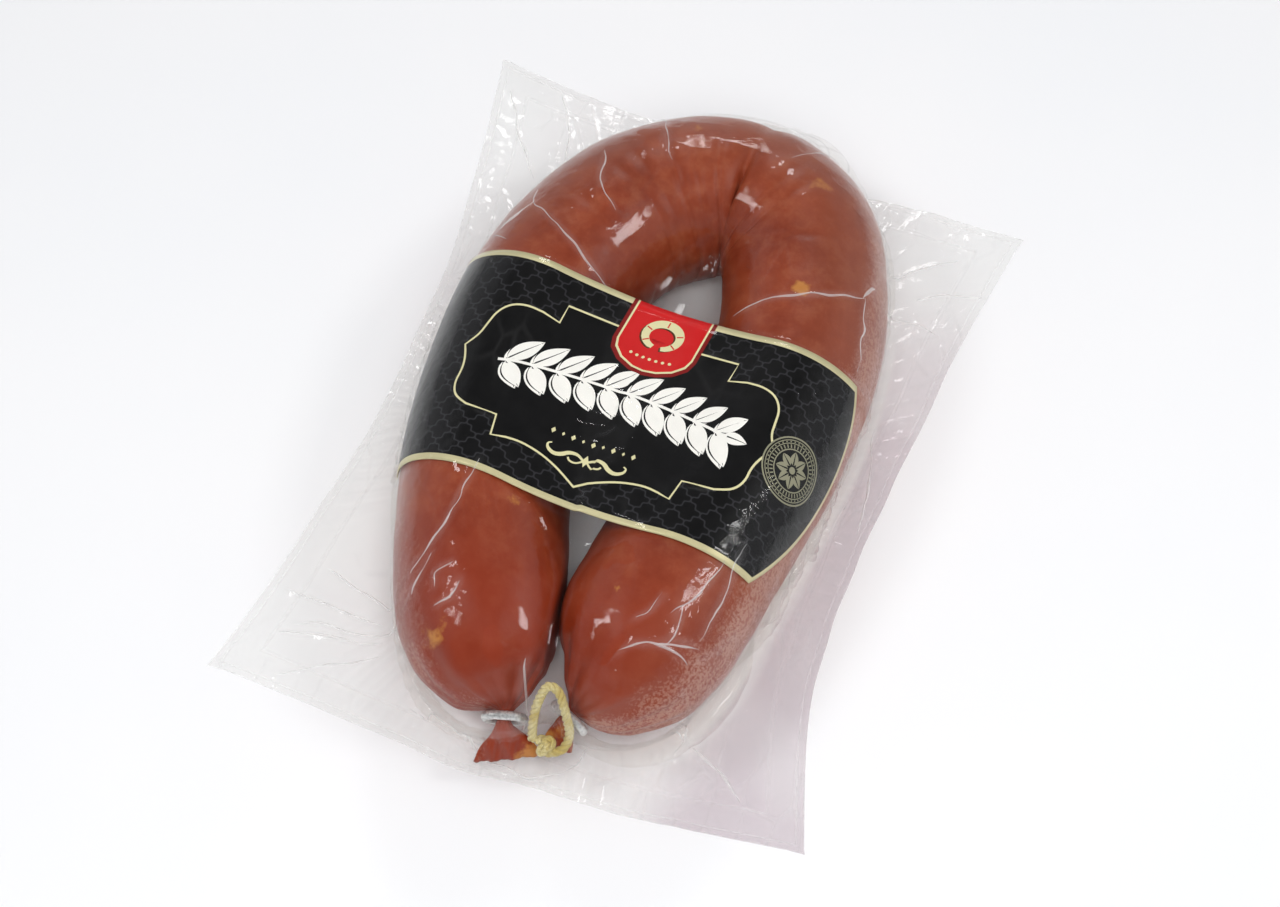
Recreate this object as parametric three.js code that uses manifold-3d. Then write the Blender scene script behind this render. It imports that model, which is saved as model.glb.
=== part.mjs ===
// A ring of cured, smoked sausage in a clear vacuum pouch, with a printed band across it.
// Millimetres, +Z up. The pack lies on its flat underside at z = 0. The ring's ends point to -Y,
// and the band runs along X. Origin: middle of the pack's box in plan, on the surface it lies on.
import * as THREE from 'three';
import { mergeVertices } from 'three/addons/utils/BufferGeometryUtils.js';
import Module from 'manifold-3d';

const wasm = await Module();
wasm.setup();

// ---- Driving dimensions -------------------------------------------------------------------------
const CALIBRE = 42.6; // diameter of the stuffed casing along the ring
const AXIS_HEIGHT = 20.6; // height of the casing's centre line: the ring sags to a flat patch below
const FILM = 0.25; // wall of the pouch film, drawn a little heavier than the real 0.1
const GAP = 0.3; // clearance between pieces that touch
const SIDES = 18; // facets round the casing
const STEPS_PER_POINT = 2; // rings between two points of a centre line
const SKY = 70; // higher than anything in the pack

const LABEL = {
  width: 61, // along Y
  turn: THREE.MathUtils.degToRad(-2.3), // the band lies a little askew
  centre: new THREE.Vector2(0, -12.5),
  leaves: THREE.MathUtils.degToRad(15), // where the band leaves each crest for the bridge
  leftReach: 112, // degrees from the crest, at the band's mid line
  rightReach: 80,
  bulge: 9.5, // how far each end bows out past its corners
  thickness: 0.3,
  gap: 0.4, // over the casing
};
const FLANGE = { height: 9.2, droop: 4.2 }; // seam of the two films near the casing, fall to the corners

const WIRE = 2.3; // aluminium clip wire
const CLIP = { innerHeight: 4.6, innerLength: 6.6 };
const TWINE = 2.4; // cotton cord

const R = CALIBRE / 2;

// Centre lines as [x, y, z, radius]: each limb runs from its clipped neck to the fold at the far end.
const LEFT_LIMB = [
  [-0.3, -91.4, 17.2, 2],
  [-1.2, -88.3, 17.9, 2],
  [-2.4, -86.3, 18.4, 6.5],
  [-4.8, -83.4, 19.2, 12.4],
  [-8.5, -78, AXIS_HEIGHT, 18],
  [-13.5, -69, AXIS_HEIGHT, R - 0.2],
  [-19, -58.5, AXIS_HEIGHT, R + 0.1],
  [-25, -42, AXIS_HEIGHT, R],
  [-29.8, -22, AXIS_HEIGHT, R],
  [-32.3, 0, AXIS_HEIGHT, R],
  [-32.3, 19, AXIS_HEIGHT, R],
  [-28.8, 36, AXIS_HEIGHT, R],
  [-21.5, 50.8, AXIS_HEIGHT, R],
  [-13, 59.6, AXIS_HEIGHT, R],
  [-4.2, 64.9, AXIS_HEIGHT, R],
  [1.6, 66.8, AXIS_HEIGHT, R - 0.5],
  [6.2, 67.4, AXIS_HEIGHT, R - 2.5],
  [8.6, 67.5, AXIS_HEIGHT, R - 4.5],
  [10.8, 67.4, AXIS_HEIGHT, R - 9],
];
const RIGHT_LIMB = [
  [12.9, -85.9, 17, 2],
  [14.2, -83, 17.6, 2],
  [15.6, -81.2, 18.2, 6.5],
  [19, -76, 19.8, 13.5],
  [21.5, -69, AXIS_HEIGHT, R - 2.1],
  [23.2, -60, AXIS_HEIGHT, R + 0.4],
  [25.2, -49, AXIS_HEIGHT, R + 0.9],
  [27.5, -34, AXIS_HEIGHT, R + 0.9],
  [30.3, -17, AXIS_HEIGHT, R + 0.7],
  [32.6, 0, AXIS_HEIGHT, R + 0.3],
  [33.6, 15, AXIS_HEIGHT, R],
  [32.5, 31, AXIS_HEIGHT, R],
  [28.8, 46, AXIS_HEIGHT, R],
  [24, 57, AXIS_HEIGHT, R],
  [17.4, 63, AXIS_HEIGHT, R],
  [11, 66, AXIS_HEIGHT, R - 0.5],
  [6.2, 67, AXIS_HEIGHT, R - 2.5],
  [3.8, 67.2, AXIS_HEIGHT, R - 4.5],
  [1.6, 67.2, AXIS_HEIGHT, R - 9],
];
// Gathered casing past each clip, as [x, y, z, half width, half thickness].
const LEFT_TAIL = [
  [-0.3, -91.4, 17.2, 2, 2],
  [0.1, -92.4, 16, 3, 1.8],
  [0.7, -93.8, 13.6, 5.2, 1.4],
  [1.2, -95.4, 10.8, 6.8, 1],
];
const RIGHT_TAIL = [
  [12.9, -85.9, 17, 2, 2],
  [12.8, -87.2, 16.2, 2.6, 1.7],
  [12.7, -88.8, 14.4, 3.4, 1.3],
  [12.6, -90.4, 12.4, 3.8, 1],
];
// The room that the upper film leaves round clips, tails and twine, in the same form as the tails.
const END_BUNDLE = [
  [5, -72, 20, 13, 12],
  [5.5, -80, 20, 14, 12.5],
  [5.5, -86, 19, 14.5, 12.5],
  [5.5, -91, 16, 13.5, 9],
  [4.4, -95, 11, 13, 5.5],
  [4.4, -97.5, 5, 10, 2.5],
];
// The hanging loop's cord: up from the left clip, over the notch between the ends, and down again.
const TWINE_PATH = [
  [7.2, -92.4, 16.6],
  [6.6, -90, 20.6],
  [6.8, -86.6, 26],
  [8.4, -83.6, 29.8],
  [10.6, -83.6, 29],
  [13.6, -86.6, 24.8],
  [15.4, -89.4, 18.4],
  [14.4, -92, 15.4],
  [10.8, -93.6, 14.2],
];
// The pouch's four edges in plan, from corner to corner.
const NEAR_EDGE = [[-78, -98], [-40, -100.5], [0, -101.5], [40, -99.5], [77, -94]];
const FAR_EDGE = [[-78, 101.5], [-40, 92], [0, 88.5], [40, 89], [78, 91]];
const LEFT_EDGE = [[-78, -98], [-70, -55], [-65.5, -10], [-65, 33], [-71, 70], [-78, 101.5]];
const RIGHT_EDGE = [[77, -94], [68, -60], [65.5, -20], [69, 26], [74, 60], [78, 91]];

// ---- Solids from three.js geometry ----------------------------------------------------------------
// A closed three.js geometry whose points are moved by place(point) and then turned into a solid.
function solid(geometry, place = (p) => p) {
  const bare = geometry.clone();
  bare.deleteAttribute('normal');
  bare.deleteAttribute('uv');
  const merged = mergeVertices(bare);
  const at = merged.attributes.position;
  for (let i = 0; i < at.count; i += 1) {
    const moved = place(new THREE.Vector3().fromBufferAttribute(at, i));
    at.setXYZ(i, moved.x, moved.y, moved.z);
  }
  return new wasm.Manifold(
    new wasm.Mesh({ numProp: 3, vertProperties: at.array, triVerts: merged.index.array }),
  );
}

const curveOf = (points) =>
  new THREE.CatmullRomCurve3(points.map(([x, y, z = 0]) => new THREE.Vector3(x, y, z)));

// A tapering tube: a unit cylinder whose height follows the rows' centre line.
// Each row is [x, y, z, half width, half thickness], and grow thickens it all round.
function loft(rows, { grow = 0, sides = SIDES, steps = STEPS_PER_POINT } = {}) {
  const axis = curveOf(rows);
  const size = curveOf(rows.map((row) => [row[3], row[4] ?? row[3], 0]));
  const rings = (rows.length - 1) * steps;
  const place = (p) => {
    const t = THREE.MathUtils.clamp(p.y + 0.5, 0, 1);
    const half = size.getPoint(t);
    const along = axis.getTangent(t);
    const side = new THREE.Vector3(along.y, -along.x, 0).normalize();
    const up = new THREE.Vector3().crossVectors(side, along);
    return axis
      .getPoint(t)
      .addScaledVector(side, p.x * (half.x + grow))
      .addScaledVector(up, p.z * (half.y + grow));
  };
  return solid(new THREE.CylinderGeometry(1, 1, 1, sides, rings), place);
}

// A slab with u and v from 0 to 1 in its own plane and w = 0 below, 1 above.
function slab(nu, nv, place) {
  const box = new THREE.BoxGeometry(1, 1, 1, nu, nv, 1);
  return solid(box, (p) => place(p.x + 0.5, p.y + 0.5, p.z > 0 ? 1 : 0));
}

function halfSpace(zLow, zHigh) {
  const box = new THREE.BoxGeometry(400, 400, zHigh - zLow);
  return solid(box.translate(0, 0, (zLow + zHigh) / 2));
}

function meshOf(name, manifold, material) {
  const { vertProperties, triVerts } = manifold.getMesh();
  const geometry = new THREE.BufferGeometry();
  geometry.setAttribute('position', new THREE.BufferAttribute(vertProperties, 3));
  geometry.setIndex(new THREE.BufferAttribute(triVerts, 1));
  geometry.computeVertexNormals();
  const mesh = new THREE.Mesh(geometry, new THREE.MeshStandardMaterial(material));
  mesh.name = name;
  return mesh;
}

// ---- The ring -------------------------------------------------------------------------------------
// Both limbs, grown by the film's clearance or wall where that is wanted, flat where the ring rests.
function ring(grow, floor) {
  const limbs = loft(LEFT_LIMB, { grow }).add(loft(RIGHT_LIMB, { grow }));
  return limbs.intersect(halfSpace(floor, SKY));
}

// The two ends press together: a hairline slot keeps them two faces.
function partingSlot() {
  const blade = new THREE.BoxGeometry(0.4, 46, 60);
  blade.rotateZ(THREE.MathUtils.degToRad(8.5));
  return solid(blade.translate(2.8, -63, AXIS_HEIGHT));
}

function sausage() {
  const tails = loft(LEFT_TAIL, { sides: 12 }).add(loft(RIGHT_TAIL, { sides: 12 }));
  return ring(0, FILM + GAP).subtract(partingSlot()).add(tails);
}

// ---- Clips and twine ------------------------------------------------------------------------------
// A wire clip closed round a neck: a round wire ring drawn out to a flat-sided oval.
function clip(centre, neckDirection) {
  const middle = (CLIP.innerHeight + WIRE) / 2;
  const stretch = (CLIP.innerLength - CLIP.innerHeight) / 2;
  const across = new THREE.Vector3(-neckDirection.y, neckDirection.x, 0).normalize();
  const up = new THREE.Vector3().crossVectors(neckDirection, across);
  const basis = new THREE.Matrix4().makeBasis(across, up, neckDirection).setPosition(centre);
  const wireRing = new THREE.TorusGeometry(middle, WIRE / 2, 8, 20);
  return solid(wireRing, (p) => {
    p.x += Math.sign(p.x) * stretch;
    return p.applyMatrix4(basis);
  });
}

const neckOf = (limb) => ({
  centre: new THREE.Vector3(...limb[0]).lerp(new THREE.Vector3(...limb[1]), 0.5),
  direction: new THREE.Vector3(...limb[1]).sub(new THREE.Vector3(...limb[0])).normalize(),
});

function twineLoop() {
  const rows = TWINE_PATH.map((point) => [...point, TWINE / 2]);
  return loft(rows, { sides: 8, steps: 3 });
}

// ---- The label ------------------------------------------------------------------------------------
const across = new THREE.Vector2(Math.cos(LABEL.turn), Math.sin(LABEL.turn));
const upward = new THREE.Vector2(-Math.sin(LABEL.turn), Math.cos(LABEL.turn));

// Where the line v = constant of the label crosses a limb: how far along the label, how big, how lean.
function crossing(limb, v) {
  const axis = curveOf(limb);
  const size = curveOf(limb.map((row) => [row[3], 0, 0]));
  const ahead = (t) => {
    const p = axis.getPoint(t);
    return new THREE.Vector2(p.x, p.y).sub(LABEL.centre);
  };
  let low = 0;
  let high = 0.8;
  for (let i = 0; i < 30; i += 1) {
    const middle = (low + high) / 2;
    if (ahead(middle).dot(upward) < v) low = middle;
    else high = middle;
  }
  const along = axis.getTangent(low);
  const lean = Math.abs(along.x * upward.x + along.y * upward.y);
  return { at: ahead(low).dot(across), radius: size.getPoint(low).x, lean };
}

// Bridge between the crests: a shallow parabola that meets both limbs without a kink.
function labelSection(v, lift) {
  const limbs = [crossing(LEFT_LIMB, v), crossing(RIGHT_LIMB, v)];
  const leave = LABEL.leaves;
  const ends = limbs.map((limb, i) => {
    const inward = i === 0 ? 1 : -1;
    const r = limb.radius + lift;
    return { ...limb, r, x: limb.at + (inward * r * Math.sin(leave)) / limb.lean };
  });
  const middle = (ends[0].x + ends[1].x) / 2;
  const half = (ends[1].x - ends[0].x) / 2;
  const sag = (half * Math.tan(leave)) / 2;
  return { ends, middle, half, sag };
}

// u runs along the label in millimetres from the middle of the bridge.
function labelPoint(section, u, v) {
  const { ends, middle, half, sag } = section;
  const side = u < 0 ? ends[0] : ends[1];
  const past = Math.abs(u) - half;
  let x = middle + u;
  let z = AXIS_HEIGHT + side.r * Math.cos(LABEL.leaves) - sag * (1 - (u / half) ** 2);
  if (past > 0) {
    const angle = past / side.r - LABEL.leaves;
    x = side.at + (Math.sign(u) * side.r * Math.sin(angle)) / side.lean;
    z = AXIS_HEIGHT + side.r * Math.cos(angle);
  }
  const plan = LABEL.centre.clone().addScaledVector(across, x).addScaledVector(upward, v);
  return new THREE.Vector3(plan.x, plan.y, z);
}

// The label as a slab from lift low to lift high, its outline grown by margin on every edge.
function labelSlab(lift, thickness, margin, foot) {
  const halfWidth = LABEL.width / 2 + margin;
  const reach = (degrees, section) =>
    section.half + section.ends[0].r * (LABEL.leaves + THREE.MathUtils.degToRad(degrees)) + margin;
  return slab(28, 8, (s, t, w) => {
    const v = (2 * t - 1) * halfWidth;
    const skin = labelSection(v, lift + thickness * w);
    const bow = LABEL.bulge * (2 * t - 1) ** 2;
    const left = bow - reach(LABEL.leftReach, skin);
    const right = reach(LABEL.rightReach, skin) - bow;
    const u = left + (right - left) * s;
    const point = labelPoint(skin, u, v);
    if (w === 0 && foot !== undefined && Math.abs(u) < skin.half) point.z = foot;
    return point;
  });
}

// ---- The pouch ------------------------------------------------------------------------------------
const edges = [NEAR_EDGE, FAR_EDGE, LEFT_EDGE, RIGHT_EDGE].map((edge) => curveOf(edge));

// A point of the pouch's outline patch, s across and t away from the ring's ends (a Coons patch).
function flangePoint(s, t) {
  const [near, far, left, right] = edges;
  const corner = (edge, end) => edge.getPoint(end);
  const ruled = near.getPoint(s).multiplyScalar(1 - t).addScaledVector(far.getPoint(s), t);
  ruled.addScaledVector(left.getPoint(t), 1 - s).addScaledVector(right.getPoint(t), s);
  ruled.addScaledVector(corner(near, 0), -(1 - s) * (1 - t)).addScaledVector(corner(near, 1), -s * (1 - t));
  ruled.addScaledVector(corner(far, 0), -(1 - s) * t).addScaledVector(corner(far, 1), -s * t);
  ruled.z = FLANGE.height - (FLANGE.droop / 2) * ((2 * s - 1) ** 2 + (2 * t - 1) ** 2);
  return ruled;
}

// A layer of the pouch between two heights, each worked out from the seam's height there.
const layer = (low, high) =>
  slab(8, 10, (s, t, w) => {
    const seam = flangePoint(s, t);
    return seam.setZ(w === 0 ? low(seam.z) : high(seam.z));
  });

// What the upper film wraps: the ring, the banded bridge, and the clips and twine at its ends.
function wrapped(grow) {
  const overLabel = LABEL.gap + LABEL.thickness + grow;
  const band = labelSlab(-3, 3 + overLabel, grow, FLANGE.height - 4);
  const ends = loft(END_BUNDLE, { grow, sides: 20, steps: 2 });
  return ring(grow, -SKY).add(band).add(ends);
}

function upperFilm() {
  const above = layer((seam) => seam + GAP / 2, () => SKY);
  const flange = layer((seam) => seam + GAP / 2, (seam) => seam + GAP / 2 + FILM);
  return wrapped(GAP + FILM).intersect(above).add(flange).subtract(wrapped(GAP));
}

function lowerFilm() {
  const under = layer(() => -SKY, (seam) => seam - GAP / 2);
  const flange = layer((seam) => seam - GAP / 2 - FILM, (seam) => seam - GAP / 2);
  return ring(GAP + FILM, 0).intersect(under).add(flange).subtract(ring(GAP, FILM));
}

// ---- Assembly -------------------------------------------------------------------------------------
const meat = { color: 0x8a3a22, roughness: 0.4, metalness: 0 };
const wire = { color: 0xb9bcc0, roughness: 0.3, metalness: 1 };
const cotton = { color: 0xe2c27a, roughness: 0.9, metalness: 0 };
const print = { color: 0x1c1a1a, roughness: 0.45, metalness: 0 };
const film = { color: 0xe9e7ee, roughness: 0.12, metalness: 0, transparent: true, opacity: 0.3 };

const group = new THREE.Group();
const leftNeck = neckOf(LEFT_LIMB);
const rightNeck = neckOf(RIGHT_LIMB);
group.add(meshOf('sausage', sausage(), meat));
group.add(meshOf('clip_left', clip(leftNeck.centre, leftNeck.direction), wire));
group.add(meshOf('clip_right', clip(rightNeck.centre, rightNeck.direction), wire));
group.add(meshOf('twine_loop', twineLoop(), cotton));
group.add(meshOf('label', labelSlab(LABEL.gap, LABEL.thickness, 0), print));
group.add(meshOf('pouch_upper_film', upperFilm(), film));
group.add(meshOf('pouch_lower_film', lowerFilm(), film));

export default group;
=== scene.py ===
# %% [markdown]
# # A smoked sausage ring in its vacuum pouch
#
# A cured sausage, bent double while it was soft, tied and clipped at its two ends, dressed with a
# printed band and sealed between two clear films.  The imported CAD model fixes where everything
# lies and how big it is.  This lesson dresses it: the casing, the band with its print, the wire
# clips, the twine, and last the films, which are shrunk onto the rest the way a vacuum does it.
#
# All sizes below are millimetres and turn into metres only when a mesh is made.

# %% Load the fixed frame
import math

import bpy
import numpy as np
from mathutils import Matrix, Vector
from mathutils.geometry import delaunay_2d_cdt


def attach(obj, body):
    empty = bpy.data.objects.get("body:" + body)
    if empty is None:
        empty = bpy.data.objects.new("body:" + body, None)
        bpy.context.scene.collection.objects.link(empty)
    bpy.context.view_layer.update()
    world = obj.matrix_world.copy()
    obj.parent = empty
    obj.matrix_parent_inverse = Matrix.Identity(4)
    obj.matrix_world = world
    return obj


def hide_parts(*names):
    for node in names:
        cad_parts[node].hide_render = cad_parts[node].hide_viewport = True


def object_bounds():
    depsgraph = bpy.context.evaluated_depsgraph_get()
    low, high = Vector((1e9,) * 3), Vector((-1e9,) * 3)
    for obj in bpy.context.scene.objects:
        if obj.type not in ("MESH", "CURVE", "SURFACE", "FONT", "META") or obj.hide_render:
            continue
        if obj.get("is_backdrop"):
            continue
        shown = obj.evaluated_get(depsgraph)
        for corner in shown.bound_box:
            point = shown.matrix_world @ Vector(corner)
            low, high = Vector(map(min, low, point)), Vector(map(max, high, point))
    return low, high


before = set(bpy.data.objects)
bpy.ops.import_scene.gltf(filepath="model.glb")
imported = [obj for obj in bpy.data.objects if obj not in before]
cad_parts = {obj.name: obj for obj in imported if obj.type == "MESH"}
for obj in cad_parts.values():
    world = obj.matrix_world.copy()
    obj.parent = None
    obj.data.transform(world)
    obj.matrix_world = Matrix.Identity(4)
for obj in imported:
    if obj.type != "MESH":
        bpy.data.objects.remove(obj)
cad_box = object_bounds()
MM = 0.001
print("CAD nodes:", sorted(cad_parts))


# %% [markdown]
# ## Small tools
#
# Three helpers carry the whole file.  One turns a printer's hex colour into the linear numbers a
# shader wants.  One adds a shader node with its settings and its links in a single call, so that a
# material reads like a recipe.  One turns points in millimetres into a smooth shaded object.

# %% Colour, node and mesh helpers
def linear(colour):
    """An sRGB hex colour as linear RGBA."""
    parts = [int(colour[i : i + 2], 16) / 255 for i in (1, 3, 5)]
    return (*[p / 12.92 if p <= 0.04045 else ((p + 0.055) / 1.055) ** 2.4 for p in parts], 1.0)


def add(tree, kind, inputs=None, stops=None, **settings):
    """Adds a shader node: settings are its own fields, inputs are values or sockets to link."""
    node = tree.nodes.new("ShaderNode" + kind)
    for field, value in settings.items():
        setattr(node, field, value)
    for socket, value in (inputs or {}).items():
        if isinstance(value, bpy.types.NodeSocket):
            tree.links.new(value, node.inputs[socket])
        else:
            node.inputs[socket].default_value = value
    if stops:
        ramp = node.color_ramp.elements
        while len(ramp) < len(stops):
            ramp.new(0.5)
        for element, (place, colour) in zip(ramp, stops):
            element.position, element.color = place, linear(colour)
    return node


def new_material(name):
    """An empty node material and its output node."""
    material = bpy.data.materials.new(name)
    material.use_nodes = True
    tree = material.node_tree
    tree.nodes.clear()
    return material, tree, tree.nodes.new("ShaderNodeOutputMaterial")


def make_object(name, points, faces, materials, smooth=True, fields=None, indices=None):
    """A mesh object from points in millimetres, with named numbers on its points if given."""
    mesh = bpy.data.meshes.new(name)
    mesh.from_pydata(
        (np.asarray(points, float) * MM).tolist(), [], [[int(i) for i in face] for face in faces]
    )
    mesh.update()
    mesh.polygons.foreach_set("use_smooth", [smooth] * len(mesh.polygons))
    if indices is not None:
        mesh.polygons.foreach_set("material_index", np.asarray(indices, int))
    for field, values in (fields or {}).items():
        mesh.attributes.new(field, "FLOAT", "POINT").data.foreach_set("value", np.ravel(values))
    for material in materials:
        mesh.materials.append(material)
    piece = bpy.data.objects.new(name, mesh)
    bpy.context.scene.collection.objects.link(piece)
    return piece


def grid_faces(rows, columns, closed=False):
    """Quads between rows of points; closed joins the last column to the first."""
    index = np.arange(rows * columns).reshape(rows, columns)
    if closed:
        index = np.hstack([index, index[:, :1]])
    corners = (index[:-1, :-1], index[:-1, 1:], index[1:, 1:], index[1:, :-1])
    return np.stack(corners, -1).reshape(-1, 4)


print("helpers ready")


# %% [markdown]
# ## Camera, floor and light
#
# The pack is looked down on from its clipped ends, a little to the right.  It lies on a pale
# sweep.  A pouch is all gloss, so the light matters: a wide panel overhead and one in front fill
# the shadows, and three small bright softboxes draw the short white strokes that tell the eye there
# is film at all.  The big panels are kept out of the gloss, which would otherwise turn milky.

# %% Camera
TARGET = Vector((4.4, -10.5, 15)) * MM
ELEVATION, AZIMUTH = math.radians(61), math.radians(20)
DISTANCE = 650 * MM

camera_data = bpy.data.cameras.new("camera")
camera_data.sensor_width, camera_data.lens = 36, 73
camera = bpy.data.objects.new("camera", camera_data)
back = Vector(
    (
        math.sin(AZIMUTH) * math.cos(ELEVATION),
        -math.cos(AZIMUTH) * math.cos(ELEVATION),
        math.sin(ELEVATION),
    )
)
camera.location = TARGET + back * DISTANCE
camera.rotation_euler = back.to_track_quat("Z", "Y").to_euler()
bpy.context.scene.collection.objects.link(camera)
bpy.context.scene.camera = camera
print("camera at", [round(c / MM) for c in camera.location], "mm")

# %% Floor
backdrop, tree, output = new_material("white_sweep_paper")
grain = add(tree, "TexNoise", {"Scale": 60.0, "Detail": 3.0})
paper = add(tree, "ValToRGB", {"Fac": grain.outputs["Fac"]}, [(0.3, "#fafbfd"), (0.7, "#fdfdfe")])
surface = add(tree, "BsdfPrincipled", {"Base Color": paper.outputs["Color"], "Roughness": 0.9})
tree.links.new(surface.outputs["BSDF"], output.inputs["Surface"])
floor = make_object(
    "floor", [
        (-3000, -3000, 0), (3000, -3000, 0), (3000, 3000, 0), (-3000, 3000, 0)
    ], [(0, 1, 2, 3)], [backdrop]
)
floor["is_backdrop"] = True
print("floor laid")

# %% Light
# a bright band all round up to 25 degrees, dark from 46 degrees up, so that flat film stays clear
BAND_TOP, DARK_FROM = 0.42, 0.72  # as sines: 25 and 46 degrees up
sky = bpy.data.worlds.new("sky")
sky.use_nodes = True
tree = sky.node_tree
upwards = add(tree, "SeparateXYZ", {0: add(tree, "TexCoord").outputs["Generated"]}).outputs["Z"]
band_light = add(
    tree,
    "MapRange",
    {"Value": upwards, "From Min": BAND_TOP, "From Max": DARK_FROM, "To Min": 0.40, "To Max": 0.045},
)
tree.links.new(band_light.outputs[0], tree.nodes["Background"].inputs["Strength"])
tree.nodes["Background"].inputs["Color"].default_value = linear("#f8f9ff")
bpy.context.scene.world = sky
bpy.context.scene.view_settings.view_transform = "Standard"

# name, place and size in mm, power in watts, whether gloss shows it
SOFTBOXES = [
    ("ceiling_panel", (0, 0, 1200), 1700, 6.4, False),
    ("front_panel", (112, -307, 584), 320, 1.7, False),
    ("left_softbox", (-420, -150, 620), 150, 0.8, True),
    ("right_softbox", (480, 120, 560), 150, 0.8, True),
    ("back_softbox", (-150, 650, 520), 150, 0.8, True),
]
for name, place, size, power, glossy in SOFTBOXES:
    lamp = bpy.data.lights.new(name, "AREA")
    lamp.size, lamp.energy = size * MM, power
    holder = bpy.data.objects.new(name, lamp)
    holder.location = Vector(place) * MM
    holder.visible_glossy = glossy
    holder.rotation_euler = holder.location.to_track_quat("Z", "Y").to_euler()
    bpy.context.scene.collection.objects.link(holder)
print("lights:", [name for name, *_ in SOFTBOXES])


# %% [markdown]
# ## The centre line
#
# Everything hugs the sausage, so its centre line comes first.  A ring bent double could be a bent
# cylinder, but a real one has a pinched fold at the far end and tapering ends, so the line is a
# list of stations with their own radius, joined by a spline and cut again at even steps.

# %% Centre line
AXIS = 20.6  # height of the ring's middle
CALIBRE = 21.3  # half the casing's width

# x, y, z, radius: from the left neck round the fold to the right neck
STATIONS = [
    (-0.3, -91.4, 17.2, 2), (-1.2, -88.3, 17.9, 2), (-2.4, -86.3, 18.4, 6.5), (-4.8, -83.4, 19.2, 12.4),
    (-8.5, -78, AXIS, 18), (-13.5, -69, AXIS, 21.1), (-19, -58.5, AXIS, 21.4), (-25, -42, AXIS, CALIBRE),
    (
        -29.8, -22, AXIS, CALIBRE
    ), (-32.3, 0, AXIS, CALIBRE), (-32.3, 19, AXIS, CALIBRE), (-28.8, 36, AXIS, CALIBRE),
    (
        -21.5, 50.8, AXIS, CALIBRE
    ), (-13, 59.6, AXIS, CALIBRE), (-4.2, 64.9, AXIS, CALIBRE), (1.6, 66.8, AXIS, CALIBRE),
    (6.2, 67.3, AXIS, CALIBRE), (11, 66, AXIS, CALIBRE), (17.4, 63, AXIS, CALIBRE), (24, 57, AXIS, CALIBRE),
    (28.8, 46, AXIS, CALIBRE), (32.5, 31, AXIS, CALIBRE), (33.6, 15, AXIS, CALIBRE), (32.6, 0, AXIS, 21.6),
    (30.3, -17, AXIS, 22), (27.5, -34, AXIS, 22.2), (25.2, -49, AXIS, 22.2), (23.2, -60, AXIS, 21.7),
    (21.5, -69, AXIS, 19.2), (19, -76, 19.8, 13.5), (
        15.6, -81.2, 18.2, 6.5
    ), (14.2, -83, 17.6, 2), (12.9, -85.9, 17, 2),
]
# x, y, z, half width, half thickness of the cut ends beyond each neck
LEFT_TAIL = [(0.2, -92.4, 16, 3.2, 1.8), (1.2, -94.2, 13.4, 6.2, 1.4), (2.2, -96.2, 10.2, 8.2, 1.0)]
RIGHT_TAIL = [(12.8, -87.2, 16.2, 2.6, 1.7), (12.7, -88.8, 14.4, 3.4, 1.3), (12.6, -90.4, 12.4, 3.8, 1.0)]


def spline(rows, step):
    """A smooth curve through the rows, cut again at even steps of length."""
    rows = np.asarray(rows, float)
    gap = np.sqrt(np.linalg.norm(np.diff(rows[:, :3], axis=0), axis=1))
    t = np.concatenate([[0], np.cumsum(gap)])
    rate = np.gradient(rows, t, axis=0, edge_order=1)
    pieces = []
    for i in range(len(rows) - 1):
        h, u = gap[i], np.linspace(0, 1, 24, endpoint=False)[:, None]
        pieces.append(
            (2 * u**3 - 3 * u**2 + 1) * rows[i]
            + (u**3 - 2 * u**2 + u) * h * rate[i]
            + (3 * u**2 - 2 * u**3) * rows[i + 1]
            + (u**3 - u**2) * h * rate[i + 1]
        )
    fine = np.vstack([*pieces, rows[-1:]])
    length = np.concatenate([[0], np.cumsum(np.linalg.norm(np.diff(fine[:, :3], axis=0), axis=1))])
    even = np.linspace(0, length[-1], int(round(length[-1] / step)) + 1)
    return np.stack([np.interp(even, length, column) for column in fine.T], 1)


LINE = spline(STATIONS, 1.0)
print("centre line", len(LINE), "mm long")


# %% [markdown]
# ## The casing
#
# The casing is one tube, lofted along the line.  Modelling by hand could give the same form, but a
# loft keeps the true calibre and lets each feature be said once: the sharp fold where the ring was
# doubled, the faces where the two ends press flat on each other, the flat it lies on, the pleats
# that gather into each clipped neck, and the soft lumps of the meat under the skin.

# %% Soft unevenness
def lumps(points, size, seed, waves=22):
    """Smooth random unevenness between about -1 and 1, in lumps of the given size."""
    draw = np.random.default_rng(seed)
    total = 0.0
    for _ in range(waves):
        direction = draw.normal(size=3)
        direction /= np.linalg.norm(direction)
        total = total + np.sin(
            points @ direction * (2 * np.pi / size) * draw.uniform(0.7, 1.4) + draw.uniform(0, 6.3)
        )
    return total * math.sqrt(2 / waves) / 2


def soft_step(x, low, high):
    """0 below low, 1 above high, smooth between."""
    t = np.clip((x - low) / (high - low), 0, 1)
    return t * t * (3 - 2 * t)


print("lumps of 20 mm, four draws:", np.round(lumps(np.eye(4, 3) * 10, 20, 1), 2))


# %% Loft the casing
def frame_of(line):
    """Unit vectors along the line, sideways (towards the ring's hole) and up."""
    along = np.gradient(line[:, :3], axis=0)
    along /= np.linalg.norm(along, axis=1, keepdims=True)
    side = np.stack([along[:, 1], -along[:, 0], 0 * along[:, 0]], 1)
    side /= np.linalg.norm(side, axis=1, keepdims=True)
    return along, side, np.cross(side, along)


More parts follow.
